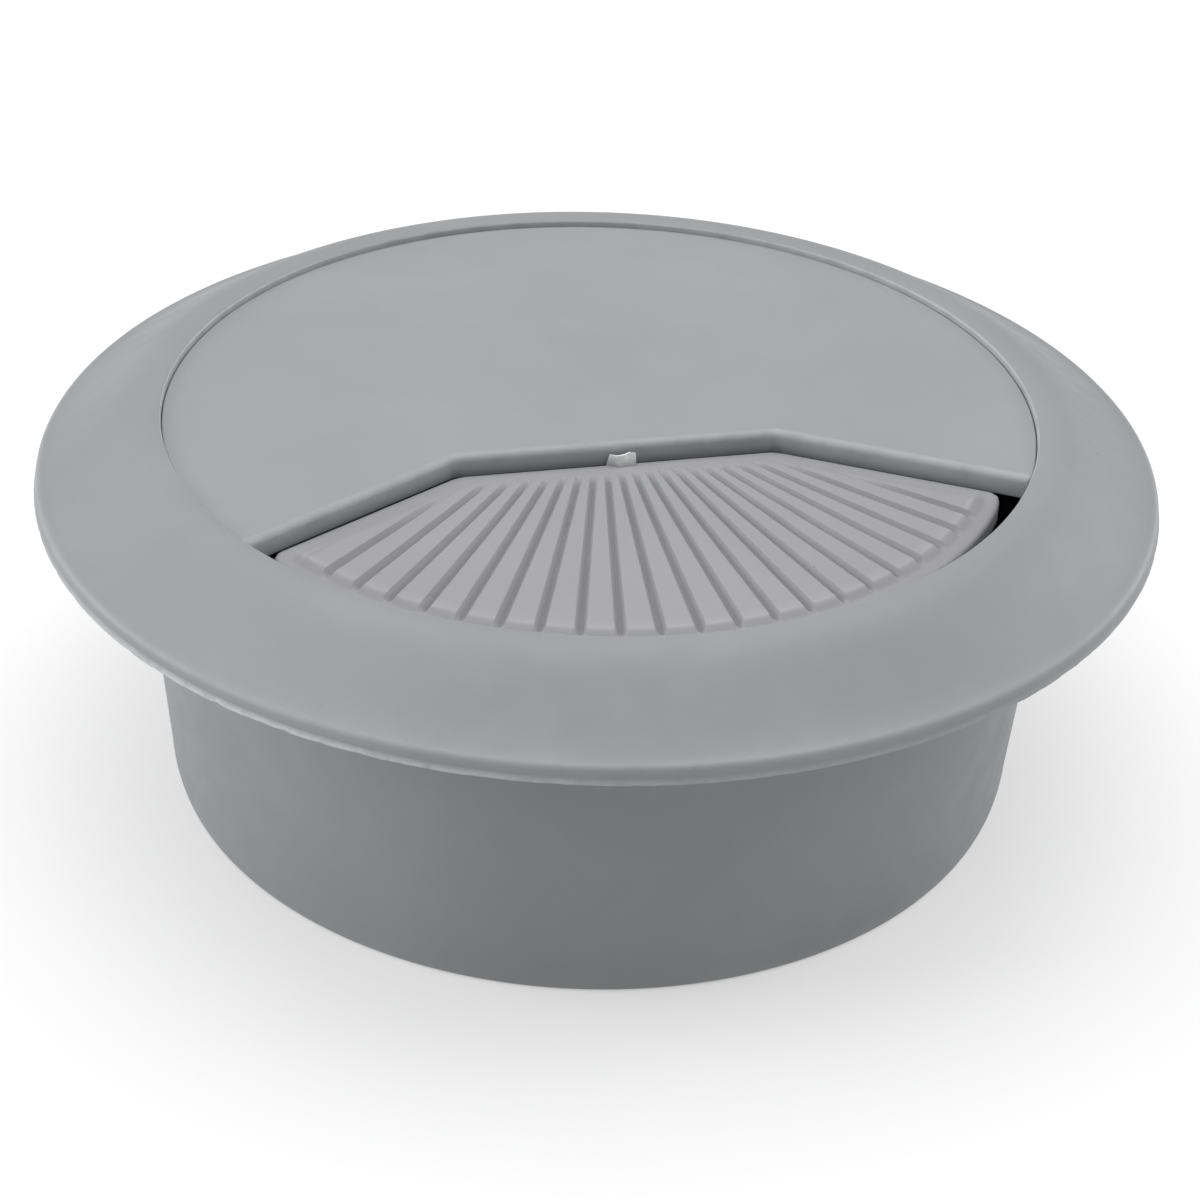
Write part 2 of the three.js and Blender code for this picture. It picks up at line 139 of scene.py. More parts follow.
CAP_THICKNESS = 1.6
CAP_UNDER_Z = CAP_TOP_Z - CAP_THICKNESS
CAP_EDGE_ROUND = 0.15
WALL_EDGE_ROUND = 0.5
CAP_FOOT_ROUND = 0.15
LEDGE_GAP = 0.3  # between the cap and the ledge that carries it
WALL_Y = -5.0
WALL_HALF_LENGTH = 10.3
WING_ANGLE = math.radians(31)
INNER_CORNER_REACH, INNER_CORNER_STEPS = 0.5, 6
TIP_REACH = 0.35
RIM_STEPS, SIDE_STEPS, TIP_STEPS = 220, 14, 5
FOOT_LAYERS, EDGE_LAYERS = 4, 9
FACE_INSETS = (0.3, 0.9)  # two loops on the flat top keep its shading flat
SKIRT_OUTER_RADIUS = 26.9
SKIRT_WALL = 1.2
SKIRT_DEPTH = 1.6
SKIRT_OVERLAP = 0.25
SKIRT_START, SKIRT_STEPS = math.radians(74), 110
HOOK_ANGLES = [math.radians(a) for a in (88, 146, 214, 272)]
HOOK_SPAN = math.radians(15)
HOOK_REACH = 0.85
HOOK_CATCH = 0.4
HOOK_LEAD = 1.5
HOOK_TIP = 0.3
LUG_INNER_X, LUG_OUTER_X = 7.5, 9.2
LUG_RADIUS, LUG_STEPS = 1.95, 24
BORE_RADIUS = 1.0

# ---- the flap ----

STUB_HEIGHT = 0.75
STUB_X = 0.25
RIB_TOP_Z = box_mm("flap")[1].z - STUB_HEIGHT
FLAP_THICKNESS = 1.8
FLAP_UNDER_Z = RIB_TOP_Z - FLAP_THICKNESS
FLAP_GAP = 0.3  # between the cap's walls and the flap
FLAP_CORNER, FLAP_CORNER_STEPS = 1.0, 10
FLAP_BACK_CORNER, FLAP_BACK_CORNER_STEPS = 0.6, 6
FLAP_FRONT_STEPS = 160
FLAP_EDGE_ROUND = 0.25
FLAP_FOOT_CHAMFER = 0.18
BORDER_DROP = 0.25
BORDER_SLOPE = 0.15
BORDER_RISE = (0.2, 1.4)  # how near the flap's back edge the border rises to meet its strip
FIRST_GROOVE, LAST_GROOVE = -11, 10
RIB_PITCH = math.radians(4.617)
FAN_APEX = Vector((0.9, 3.75))
FAN_TURN = math.radians(-0.914)
STEP_START, STEP_END = 24.6, 25.4
STRIP_WIDTH = 0.9
STRIP_RISE_END = 1.6
STRIP_DROP = 0.1
GROOVE_FADE = 1.8
GROOVE_NEAR_REACH, GROOVE_FAR_REACH = 10.0, 29.9
GROOVE_WIDTHS = (0.5, 0.76)
GROOVE_DEPTHS = (0.33, 0.5)
GROOVE_BOTTOM_ROUND = 0.05  # as a share of the groove's half width
GROOVE_EDGE_START = 0.8
END_RAY_MARGIN = 1e-4
MERGE_WITHIN = 0.002
KNUCKLE_RADIUS = 1.8
KNUCKLE_INNER_X, KNUCKLE_OUTER_X = 5.0, 7.2
KNUCKLE_EDGE = 0.1
KNUCKLE_REACH = 4.5
KNUCKLE_NOSE = 0.3  # above and below the flap's underside, at the web's far end
HEEL_RADIUS = 2.6
FLAP_TRAVEL = math.radians(65)

# The stub's front face: across from its middle, forward of the flap's back edge, above the ribs.
STUB_FRONT = [
    (-1.1, 0.14, -0.3),
    (-0.1, 0.75, -0.3),
    (0.85, 0.6, -0.3),
    (0.84, 0.18, 0.62),
    (0.5, 0.1, STUB_HEIGHT - 0.05),
    (0.12, 0.2, 0.55),
    (-0.34, 0.2, 0.5),
    (-0.82, 0.06, 0.62),
]
STUB_FOLD_START, STUB_FOLD_END = 1, 7  # the points where the folded corner meets the tab
STUB_BACK_WIDTH, STUB_BACK_HEIGHT = 0.94, 0.93  # as shares of the front face's

# ---- the hinge pin ----

PIN_CHAMFER, PIN_CROWN, PIN_SIDES = 0.22, 0.06, 64
PIN_CROWN_POINT = (0.3, 0.1)  # out from the axis and in from the end, as shares of radius and crown
PIN_CHAMFER_POINT = (0.3, 0.35)  # in from the side and from the crown, as shares of the chamfer

# ---- the spring ----

WIRE_RADIUS = 0.25
COIL_RADIUS = 1.5
COIL_PITCH = 0.62
COIL_TURNS = 7
STEPS_A_TURN, LEG_STEPS, WIRE_SIDES = 40, 12, 16
WIRE_END_ROUND = 0.08
FIXED_LEG, FIXED_LEG_TILT = 8.0, math.radians(20)
FLAP_LEG, FLAP_LEG_TILT = 8.4, math.radians(12)


# ---- outlines ----


def lerp(a, b, t):
    return a + (b - a) * t


def smooth(value, start, end):
    t = np.clip((value - start) / (end - start), 0, 1)
    return t * t * (3 - 2 * t)


def arc(centre, radii, start, end, steps):
    """Points of an arc, both ends included, in radians from the first axis."""
    angles = np.linspace(start, end, steps + 1)
    return [(centre[0] + radii[0] * math.cos(a), centre[1] + radii[1] * math.sin(a)) for a in angles]


def rounded(corners, steps=5):
    """A closed outline from (a, b, round) corners, each with its radius, as a list of points."""
    outline = []
    for index, (a, b, radius) in enumerate(corners):
        here = Vector((a, b))
        if radius == 0:
            outline.append(here)
            continue
        before = (Vector(corners[index - 1][:2]) - here).normalized()
        after = (Vector(corners[(index + 1) % len(corners)][:2]) - here).normalized()
        half = before.angle(after) / 2
        centre = here + (before + after).normalized() * radius / math.sin(half)
        start = here + before * radius / math.tan(half) - centre
        end = here + after * radius / math.tan(half) - centre
        sweep = start.angle(end)
        for t in np.linspace(0, 1, steps + 1):
            mixed = start * math.sin((1 - t) * sweep) + end * math.sin(t * sweep)
            outline.append(centre + mixed / math.sin(sweep))
    return [tuple(p) for p in outline]


def eased_corner(corner, before, after, steps):
    """A corner rounded by a parabola between two points near it."""
    points = []
    for t in np.linspace(0, 1, steps + 1):
        points.append(before * (1 - t) ** 2 + corner * 2 * t * (1 - t) + after * t * t)
    return points


def stepped(outline, longest):
    """The same closed outline with its long stretches divided."""
    points = []
    for index, p in enumerate(outline):
        start, end = Vector(p), Vector(outline[(index + 1) % len(outline)])
        count = max(1, math.ceil((end - start).length / longest))
        points += [tuple(start.lerp(end, k / count)) for k in range(count)]
    return points


# ---- meshes ----

BEVEL_ABOVE = math.radians(40)
SHARP_ABOVE = math.radians(32)
WIRE_SHARP_ABOVE = math.radians(50)
NORMAL_WEIGHT = 80
LARGEST_SLIVER = 6


def new_piece(name, bm):
    bmesh.ops.recalc_face_normals(bm, faces=bm.faces)
    mesh = bpy.data.meshes.new(name)
    bm.to_mesh(mesh)
    bm.free()
    piece = bpy.data.objects.new(name, mesh)
    bpy.context.scene.collection.objects.link(piece)
    return piece


def settle(piece):
    """Turns the piece's modifiers into its own mesh."""
    bpy.context.view_layer.update()
    graph = bpy.context.evaluated_depsgraph_get()
    mesh = bpy.data.meshes.new_from_object(piece.evaluated_get(graph))
    old = piece.data
    piece.modifiers.clear()
    piece.data = mesh
    mesh_name = old.name
    bpy.data.meshes.remove(old)
    mesh.name = mesh_name


def turned(name, outline, segments, shape=None):
    """A closed [radius, height] outline turned about Z. shape(r, z, angle) may move each point."""
    bm = bmesh.new()
    rings = []
    for angle in np.linspace(0, 2 * math.pi, segments, endpoint=False):
        ring = []
        for r, z in outline:
            if shape:
                r, z = shape(r, z, angle)
            ring.append(bm.verts.new(Vector((r * math.cos(angle), r * math.sin(angle), z)) * MM))
        rings.append(ring)
    for k, ring in enumerate(rings):
        beside = rings[(k + 1) % segments]
        for i in range(len(outline)):
            j = (i + 1) % len(outline)
            bm.faces.new((ring[i], ring[j], beside[j], beside[i]))
    return new_piece(name, bm)


def stacked(name, layers):
    """Layers of equally many (x, y, z) points, skinned from the first to the last and closed."""
    bm = bmesh.new()
    rings = [[bm.verts.new(Vector(p) * MM) for p in layer] for layer in layers]
    for low, high in zip(rings, rings[1:]):
        for i in range(len(low)):
            j = (i + 1) % len(low)
            bm.faces.new((low[i], low[j], high[j], high[i]))
    bm.faces.new(rings[0])
    bm.faces.new(rings[-1])
    return new_piece(name, bm)


def prism(name, outline, start, end, place, edge_round=0.0):
    """An outline pulled from start to end. place(a, b, c) gives the point in the part's axes."""
    layers = [[place(a, b, c) for a, b in outline] for c in (start, end)]
    piece = stacked(name, layers)
    if edge_round:
        bevel = piece.modifiers.new("edge", "BEVEL")
        bevel.width = edge_round * MM
        bevel.segments = 2
        bevel.limit_method = "ANGLE"
        bevel.angle_limit = BEVEL_ABOVE
        settle(piece)
    return piece


def upright(a, b, c):
    return (a, b, c)


def sideways(a, b, c):
    return (c, a, b)


def fill_slivers(piece):
    """Closes the narrow triangles that a join can leave open."""
    bm = bmesh.new()
    bm.from_mesh(piece.data)
    open_edges = [edge for edge in bm.edges if edge.is_boundary]
    bmesh.ops.holes_fill(bm, edges=open_edges, sides=LARGEST_SLIVER)
    bm.to_mesh(piece.data)
    bm.free()


def combine(piece, others, operation):
    """Joins the others to the piece, or cuts it by them, and removes them."""
    for other in others:
        step = piece.modifiers.new("combine", "BOOLEAN")
        step.solver = "EXACT"
        step.operation = operation
        step.object = other
        settle(piece)
        mesh = other.data
        bpy.data.objects.remove(other)
        bpy.data.meshes.remove(mesh)
    fill_slivers(piece)


def hinge_bar(name, radius, half_length):
    circle = arc((HINGE_Y, HINGE_Z), (radius, radius), 0, 2 * math.pi, BAR_SIDES)[:-1]
    return prism(name, circle, -half_length, half_length, sideways)


def finish_shading(piece):
    piece.data.shade_smooth()
    piece.data.set_sharp_from_angle(angle=SHARP_ABOVE)
    weighted = piece.modifiers.new("normals", "WEIGHTED_NORMAL")
    weighted.keep_sharp = True
    weighted.weight = NORMAL_WEIGHT
    settle(piece)


def mark(piece, name, value_at):
    """Writes a value from 0 to 1 to each vertex, from arrays of its x, y and z in millimetres."""
    mesh = piece.data
    places = np.zeros(len(mesh.vertices) * 3)
    mesh.vertices.foreach_get("co", places)
    x, y, z = places.reshape(-1, 3).T / MM
    layer = mesh.attributes.new(name, "FLOAT", "POINT")
    layer.data.foreach_set("value", np.clip(value_at(x, y, z), 0, 1).astype(np.float32))


def mount(piece, body, node, slot, material):
    piece.data.materials.clear()
    piece.data.materials.append(material)
    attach(piece, body)
    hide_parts(node)


# ---- materials ----


MIX_FACTOR, MIX_COLOR_A, MIX_COLOR_B, MIX_COLOR_RESULT = 0, 6, 7, 2  # the Mix node's sockets


class Nodes:
    """A material's node tree, with short calls that add and link its nodes."""

    def __init__(self, name):
        self.material = bpy.data.materials.new(name)
        self.material.use_nodes = True
        self.tree = self.material.node_tree
        self.shader = self.tree.nodes["Principled BSDF"]
        self.place = self.add("ShaderNodeTexCoord").outputs["Object"]

    def add(self, kind, **settings):
        node = self.tree.nodes.new(kind)
        for key, value in settings.items():
            setattr(node, key, value)
        return node

    def link(self, output, socket):
        self.tree.links.new(output, socket)

    def feed(self, socket, value):
        if isinstance(value, bpy.types.NodeSocket):
            self.link(value, socket)
        else:
            socket.default_value = value

    def noise(self, scale, detail=2.0, rough=0.5, stretch=(1, 1, 1)):
        texture = self.add("ShaderNodeTexNoise")
        texture.inputs["Scale"].default_value = scale
        texture.inputs["Detail"].default_value = detail
        texture.inputs["Roughness"].default_value = rough
        mapping = self.add("ShaderNodeMapping")
        mapping.inputs["Scale"].default_value = stretch
        self.link(self.place, mapping.inputs["Vector"])
        self.link(mapping.outputs["Vector"], texture.inputs["Vector"])
        return texture.outputs["Fac"]

    def ranged(self, value, from_low, from_high, to_low=0.0, to_high=1.0):
        node = self.add("ShaderNodeMapRange", interpolation_type="SMOOTHSTEP")
        limits = (from_low, from_high, to_low, to_high)
        for socket, limit in zip(("From Min", "From Max", "To Min", "To Max"), limits):
            node.inputs[socket].default_value = limit
        self.link(value, node.inputs["Value"])
        return node.outputs["Result"]

    def math(self, operation, a, b):
        node = self.add("ShaderNodeMath", operation=operation)
        self.feed(node.inputs[0], a)
        self.feed(node.inputs[1], b)
        return node.outputs["Value"]

    def mix(self, factor, a, b):
        node = self.add("ShaderNodeMix", data_type="RGBA")
        self.feed(node.inputs[MIX_FACTOR], factor)
        self.feed(node.inputs[MIX_COLOR_A], a)
        self.feed(node.inputs[MIX_COLOR_B], b)
        return node.outputs[MIX_COLOR_RESULT]

    def attribute(self, name):
        return self.add("ShaderNodeAttribute", attribute_name=name).outputs["Fac"]

    def specks(self, scale, size, rarity):
        """Small round spots, one in some of the cells of a grid."""
        cells = self.add("ShaderNodeTexVoronoi")
        cells.inputs["Scale"].default_value = scale
        self.link(self.place, cells.inputs["Vector"])
        spot = self.ranged(cells.outputs["Distance"], size, size * 0.5)
        chosen = self.math("GREATER_THAN", self.channel(cells.outputs["Color"]), rarity)
        return self.math("MULTIPLY", spot, chosen)

    def channel(self, color):
        split = self.add("ShaderNodeSeparateColor")
        self.link(color, split.inputs["Color"])
        return split.outputs["Red"]

    def bump(self, height, distance, strength=1.0, under=None):
        node = self.add("ShaderNodeBump")
        node.inputs["Distance"].default_value = distance * MM
        node.inputs["Strength"].default_value = strength
        self.link(height, node.inputs["Height"])
        if under:
            self.link(under, node.inputs["Normal"])
        return node.outputs["Normal"]


def gray(red, green, blue):
    """A linear colour from screen values of 0 to 255."""
    def linear(value):
        v = value / 255
        return v / 12.92 if v <= 0.04045 else ((v + 0.055) / 1.055) ** 2.4
    return (linear(red), linear(green), linear(blue), 1.0)


def times(color, factor):
    return (*(min(1.0, c * factor) for c in color[:3]), 1.0)


LINER_GRAY = gray(133, 134, 135)
CAP_GRAY = gray(137, 140, 141)
FLAP_GRAY = gray(139, 139, 141)
WHITENED = gray(222, 225, 223)
SPECK = gray(62, 62, 62)
BLOTCH_TONES = (0.965, 1.03)  # times the plastic's colour
FLOW_TONE, FLOW_STRENGTH = 0.95, 0.35
# the first value is how much paler rubbed edges are, and also how much painted light lifts shaded
# walls
RUBBED_AND_PAINTED_LIGHT_TONE, RUBBED_LEAST, RUBBED_POLISH = 1.7, 0.6, 0.12
TORN_LEAST = 0.45
SATIN = (0.5, 0.62)
SPECK_GRID, SPECK_SIZE, SPECK_RARITY, SPECK_STRENGTH = 330, 0.03, 0.86, 0.7
PEEL_HEIGHT, GRAIN_HEIGHT = 0.03, 0.012
PLASTIC_IOR, PLASTIC_SPECULAR = 1.5, 0.38


def moulded_plastic(name, color):
    """Satin moulded plastic: faint blotches and flow, paler worn faces, painted light on shaded walls,
    whitened flash, grain.
    """
    n = Nodes(name)
    blotch = n.noise(scale=70, detail=3)
    flow = n.noise(scale=240, detail=4, rough=0.6, stretch=(1, 1, 0.35))
    low, high = BLOTCH_TONES
    tone = n.mix(n.ranged(blotch, 0.3, 0.7), times(color, low), times(color, high))
    streaks = n.ranged(flow, 0.35, 0.75, to_high=FLOW_STRENGTH)
    tone = n.mix(streaks, tone, times(color, FLOW_TONE))
    patchy = n.ranged(n.noise(scale=600, detail=2), 0.2, 0.6, to_low=RUBBED_LEAST)
    # this pale tone is partly real edge wear and partly painted light on walls that stand in shade
    rub_and_painted_light = n.math("MULTIPLY", n.attribute("wear_and_painted_light"), patchy)
    tone = n.mix(rub_and_painted_light, tone, times(color, RUBBED_AND_PAINTED_LIGHT_TONE))
    torn = n.ranged(n.noise(scale=1300, detail=4, rough=0.7), 0.25, 0.6, to_low=TORN_LEAST)
    white = n.math("MULTIPLY", n.attribute("whiten"), torn)
    tone = n.mix(white, tone, WHITENED)
    specks = n.specks(SPECK_GRID, SPECK_SIZE, SPECK_RARITY)
    tone = n.mix(n.math("MULTIPLY", specks, SPECK_STRENGTH), tone, SPECK)
    n.link(tone, n.shader.inputs["Base Color"])
    satin = n.ranged(n.noise(scale=420, detail=3), 0.25, 0.75, *SATIN)
    polish = n.math("MULTIPLY", rub_and_painted_light, RUBBED_POLISH)
    n.link(n.math("SUBTRACT", satin, polish), n.shader.inputs["Roughness"])
    peel = n.bump(n.noise(scale=300, detail=2), PEEL_HEIGHT, strength=0.5)
    grain = n.noise(scale=5200, detail=2, rough=0.6)
    n.link(n.bump(grain, GRAIN_HEIGHT, strength=0.6, under=peel), n.shader.inputs["Normal"])
    n.shader.inputs["IOR"].default_value = PLASTIC_IOR
    n.shader.inputs["Specular IOR Level"].default_value = PLASTIC_SPECULAR
    return n.material


PIN_STEEL = (0.6, 0.61, 0.63, 1)
SPRING_STEEL = (0.52, 0.53, 0.55, 1)
DRAWN_ALONG_X, DRAWN_ANY_WAY = (0.03, 1, 1), (1, 1, 1)
STEEL_LINE_TONES = (0.86, 1.06)
STEEL_DULL_TONE, STEEL_DULL_STRENGTH = 0.7, 0.4
STEEL_ROUGHNESS = (0.24, 0.42)
STEEL_LINE_HEIGHT = 0.006


def drawn_steel(name, color, along):
    """Bright steel drawn to size: fine lines along one axis, with patchy oil and dulling."""
    n = Nodes(name)
    lines = n.noise(scale=2600, detail=4, rough=0.7, stretch=along)
    dull = n.noise(scale=500, detail=3)
    low, high = STEEL_LINE_TONES
    tone = n.mix(n.ranged(lines, 0.3, 0.7), times(color, low), times(color, high))
    patches = n.ranged(dull, 0.5, 0.8, to_high=STEEL_DULL_STRENGTH)
    tone = n.mix(patches, tone, times(color, STEEL_DULL_TONE))
    n.link(tone, n.shader.inputs["Base Color"])
    n.shader.inputs["Metallic"].default_value = 1.0
    n.link(n.ranged(dull, 0.25, 0.75, *STEEL_ROUGHNESS), n.shader.inputs["Roughness"])
    n.link(n.bump(lines, STEEL_LINE_HEIGHT, strength=0.5), n.shader.inputs["Normal"])
    return n.material


# ---- liner ----


def sleeve_inner(z):
    return lerp(SLEEVE_FOOT_RADIUS, SLEEVE_TOP_RADIUS, z / SEAT_Z) - SLEEVE_WALL


def flange_slope(head, steps):
    """The flange's top from its lip up to the head of the slope, as (radius, height) points."""
    foot = Vector((LIP_RADIUS - SLOPE_FOOT * LIP_ROUND, SEAT_Z + LIP_HEIGHT))
    lower = foot + Vector((-math.cos(LIP_TILT), math.sin(LIP_TILT))) * SLOPE_EASE
    upper = head + Vector((math.cos(CREST_TILT), -math.sin(CREST_TILT))) * SLOPE_EASE
    points = []
    for t in np.linspace(0, 1, steps + 1):
        u = 1 - t
        points.append(foot * u ** 3 + lower * 3 * u * u * t + upper * 3 * u * t * t + head * t ** 3)
    return [tuple(p) for p in points]


def liner_outline():
    ledge_top = CAP_UNDER_Z - LEDGE_GAP
    ledge_foot = ledge_top - LEDGE_THICKNESS
    foot_centre = (SLEEVE_FOOT_RADIUS - FOOT_ROUND_RADIAL, FOOT_ROUND_HEIGHT)
    foot = arc(foot_centre, (FOOT_ROUND_RADIAL, FOOT_ROUND_HEIGHT), -math.pi / 2, 0, FOOT_STEPS)
    crest_centre = (CREST_RADIUS, CREST_Z - CREST_ROUND)
    edge_radius = WELL_RADIUS + WELL_EDGE_ROUND
    crest_end = math.acos((edge_radius - CREST_RADIUS) / CREST_ROUND)
    crest_start = math.pi / 2 - CREST_TILT
    crest = arc(crest_centre, (CREST_ROUND, CREST_ROUND), crest_start, crest_end, CREST_STEPS)
    edge_centre = (edge_radius, crest[-1][1] - WELL_EDGE_ROUND)
    edge_radii = (WELL_EDGE_ROUND, WELL_EDGE_ROUND)
    edge = arc(edge_centre, edge_radii, math.pi / 2, math.pi, EDGE_STEPS)
    slope = flange_slope(Vector(crest[0]), SLOPE_STEPS)
    plain = 0.0
    corners = [(sleeve_inner(0), 0, SLEEVE_CORNER)]
    corners += [(r, z, plain) for r, z in foot]
    corners += [
        (SLEEVE_TOP_RADIUS, HOLLOW_INNER_Z - HOLLOW_CHAMFER, SLEEVE_CORNER),
        (HOLLOW_INNER_RADIUS, HOLLOW_INNER_Z, SLEEVE_CORNER),
        (HOLLOW_OUTER_RADIUS, HOLLOW_OUTER_Z, MOULD_EDGE),
        (RIM_FACE_INNER_RADIUS, SEAT_Z, RIM_FACE_CORNER),
        (FLANGE_RADIUS, SEAT_Z, FLASH_CORNER),
        (FLANGE_RADIUS, SEAT_Z + FLASH_THICKNESS, FLASH_CORNER),
        (LIP_RADIUS, SEAT_Z + FLASH_HEIGHT, MOULD_EDGE),
        (LIP_RADIUS - LIP_LEAN, SEAT_Z + LIP_HEIGHT, LIP_TOP_ROUND),
    ]
    corners += [(r, z, plain) for r, z in slope[1:] + crest[1:] + edge[1:]]
    corners += [
        (WELL_RADIUS, ledge_top, MOULD_EDGE),
        (LEDGE_RADIUS, ledge_top, MOULD_EDGE),
        (LEDGE_RADIUS, ledge_foot, MOULD_EDGE),
        (sleeve_inner(ledge_foot), ledge_foot, LEDGE_ROOT),
    ]
    return stepped(rounded(corners), LONGEST_STRETCH)


def flash_amount(angle):
    """How thick the mould flash has grown at an angle round the rim, from 0 to 1."""
    heavy_side = math.radians(-136)  # from +X, the front left
    spread = math.radians(30)
    least = 0.25
    off = (angle - heavy_side + math.pi) % (2 * math.pi) - math.pi
    return least + (1 - least) * np.exp(-((off / spread) ** 2))


def ragged_flash(r, z, angle):
    """Tears the thin flash round the flange's lower edge."""
    slack = 0.02
    if r < LIP_RADIUS + slack or z > SEAT_Z + FLASH_HEIGHT:
        return r, z
    around = Vector((math.cos(angle), math.sin(angle), 0))
    coarse, fine, fine_share = 38, 95, 0.6
    torn = noise.noise(around * coarse) + fine_share * noise.noise(around * fine)
    reach = (r - LIP_RADIUS) / (FLANGE_RADIUS - LIP_RADIUS)
    amount = flash_amount(angle)
    drawn_in, torn_in = 0.03, 0.05
    r -= reach * (drawn_in + FLASH_RAGGED * (1 - amount) + torn_in * abs(torn))
    z += reach * FLASH_RAGGED * torn * lerp(0.35, 1, amount)
    return r, z


def liner_wear_and_painted_light(x, y, z):
    r = np.hypot(x, y)
    edge, lip_strength = 0.13, 0.3
    # painted light: the well's upright inner wall round the cap stands in shade and is painted paler;
    # the lip's value is real edge wear
    painted_well_light = 1 - smooth(r, WELL_RADIUS, WELL_RADIUS + edge)
    from_lip = np.hypot(r - LIP_RADIUS, z - SEAT_Z - LIP_HEIGHT)
    lip = 1 - smooth(from_lip, 0.1, 0.5)
    return np.maximum(painted_well_light * smooth(z, CAP_UNDER_Z, CAP_TOP_Z), lip_strength * lip)


def liner_whiten(x, y, z):
    r = np.hypot(x, y)
    strength = 0.45
    band = smooth(r - LIP_RADIUS, -0.02, 0.06)
    low = 1 - smooth(z - SEAT_Z, 0.3, FLASH_HEIGHT + 0.05)
    return strength * band * low * flash_amount(np.arctan2(y, x))


def make_liner():
    liner = turned("liner_moulding", liner_outline(), LINER_SEGMENTS, ragged_flash)
    finish_shading(liner)
    mark(liner, "wear_and_painted_light", liner_wear_and_painted_light)
    mark(liner, "whiten", liner_whiten)
    plastic = moulded_plastic("liner_plastic", LINER_GRAY)
    mount(liner, "liner", "liner", "liner_plastic", plastic)


# ---- the cut-out that the cap and the flap share ----


def wing(gap):
    """The right end of the cut-out's middle wall, gap in front of it, and the way forward."""
    x = WALL_HALF_LENGTH - gap * math.tan(WING_ANGLE / 2)
    return Vector((x, WALL_Y - gap)), Vector((math.cos(WING_ANGLE), -math.sin(WING_ANGLE)))


def circle_reach(start, direction, radius):
    """How far along a line from start it meets a circle about the origin."""
    half = start.dot(direction)
    return -half + math.sqrt(half * half - start.length_squared + radius * radius)


def mirrored(points):
    return [Vector((-p.x, p.y)) for p in reversed(points)]


# ---- cap ----


def cap_outline(inset):
    """The cap's outline seen from above, moved inwards by inset."""
    corner, forward = wing(-inset)
    radius = CAP_RADIUS - inset
    tip = corner + forward * circle_reach(corner, forward, radius)
    tip_angle = math.atan2(tip.y, tip.x) + TIP_REACH / radius
    rim = arc((0, 0), (radius, radius), tip_angle, math.pi - tip_angle, RIM_STEPS)
    rim = [Vector(p) for p in rim]
    tip_round = eased_corner(tip, tip - forward * TIP_REACH, rim[0], TIP_STEPS)[:-1]
    along_wall = Vector((-INNER_CORNER_REACH, 0))
    along_wing = forward * INNER_CORNER_REACH
    inner = eased_corner(corner, corner + along_wall, corner + along_wing, INNER_CORNER_STEPS)
    side = [inner[-1].lerp(tip_round[0], k / SIDE_STEPS) for k in range(1, SIDE_STEPS)]
    right = inner + side + tip_round
    return rim + mirrored(right) + right


def cap_layer(share, rim_round, wall_round):
    """Points (x, y, distance from the flat face) of a layer through the cap's rounded edges.

    The share is 0 at the flat face and 1 where the edge stands upright.
    """
    across = 1 - math.sqrt(1 - (1 - share) ** 2)
    rim, wall = cap_outline(across * rim_round), cap_outline(across * wall_round)
    tip = list(np.linspace(1, 0, TIP_STEPS + 1)[:-1])
    right = [1.0] * ((len(rim) - RIM_STEPS - 1) // 2 - TIP_STEPS) + tip
    wall_shares = [0.0] * (RIM_STEPS + 1) + right[::-1] + right
    points = []
    for on_rim, on_wall, wall_share in zip(rim, wall, wall_shares):
        place = on_rim.lerp(on_wall, wall_share)
        points.append((place.x, place.y, share * lerp(rim_round, wall_round, wall_share)))
    return points


def cap_disc():
    layers = []
    for turn in np.linspace(0, math.pi / 2, FOOT_LAYERS):
        layer = cap_layer(1 - math.cos(turn), CAP_FOOT_ROUND, CAP_FOOT_ROUND)
        layers.append([(x, y, CAP_UNDER_Z + rise) for x, y, rise in layer])
    for turn in np.linspace(0, math.pi / 2, EDGE_LAYERS):
        layer = cap_layer(1 - math.sin(turn), CAP_EDGE_ROUND, WALL_EDGE_ROUND)
        layers.append([(x, y, CAP_TOP_Z - drop) for x, y, drop in layer])
    for inset in FACE_INSETS:
        outline = cap_outline(max(CAP_EDGE_ROUND, WALL_EDGE_ROUND) + inset)
        layers.append([(p.x, p.y, CAP_TOP_Z) for p in outline])
    return stacked("cap_moulding", layers)


def ring_sector(inner, outer, start, end, steps):
    outside = arc((0, 0), (outer, outer), start, end, steps)
    inside = arc((0, 0), (inner, inner), end, start, steps)
    return outside + inside


def hook(angle):
    nose = SKIRT_OUTER_RADIUS + HOOK_REACH
    inner = SKIRT_OUTER_RADIUS - SKIRT_WALL
    catch_z = CAP_UNDER_Z - 2 * LEDGE_GAP - LEDGE_THICKNESS
    tip_z = catch_z - HOOK_CATCH - HOOK_LEAD
    root_z = CAP_UNDER_Z + JOIN_OVERLAP
    section = [
        (inner, tip_z),
        (SKIRT_OUTER_RADIUS - HOOK_TIP, tip_z),
        (nose, catch_z - HOOK_CATCH),
        (nose, catch_z),
        (SKIRT_OUTER_RADIUS, catch_z),
        (SKIRT_OUTER_RADIUS, root_z),
        (inner, root_z),
    ]
    out = Vector((math.sin(angle), -math.cos(angle), 0))
    across = Vector((math.cos(angle), math.sin(angle), 0))
    half = SKIRT_OUTER_RADIUS * HOOK_SPAN / 2

    def place(a, b, c):
        return out * a + across * c + Vector((0, 0, b))

    return prism("hook", section, -half, half, place, MOULD_EDGE)


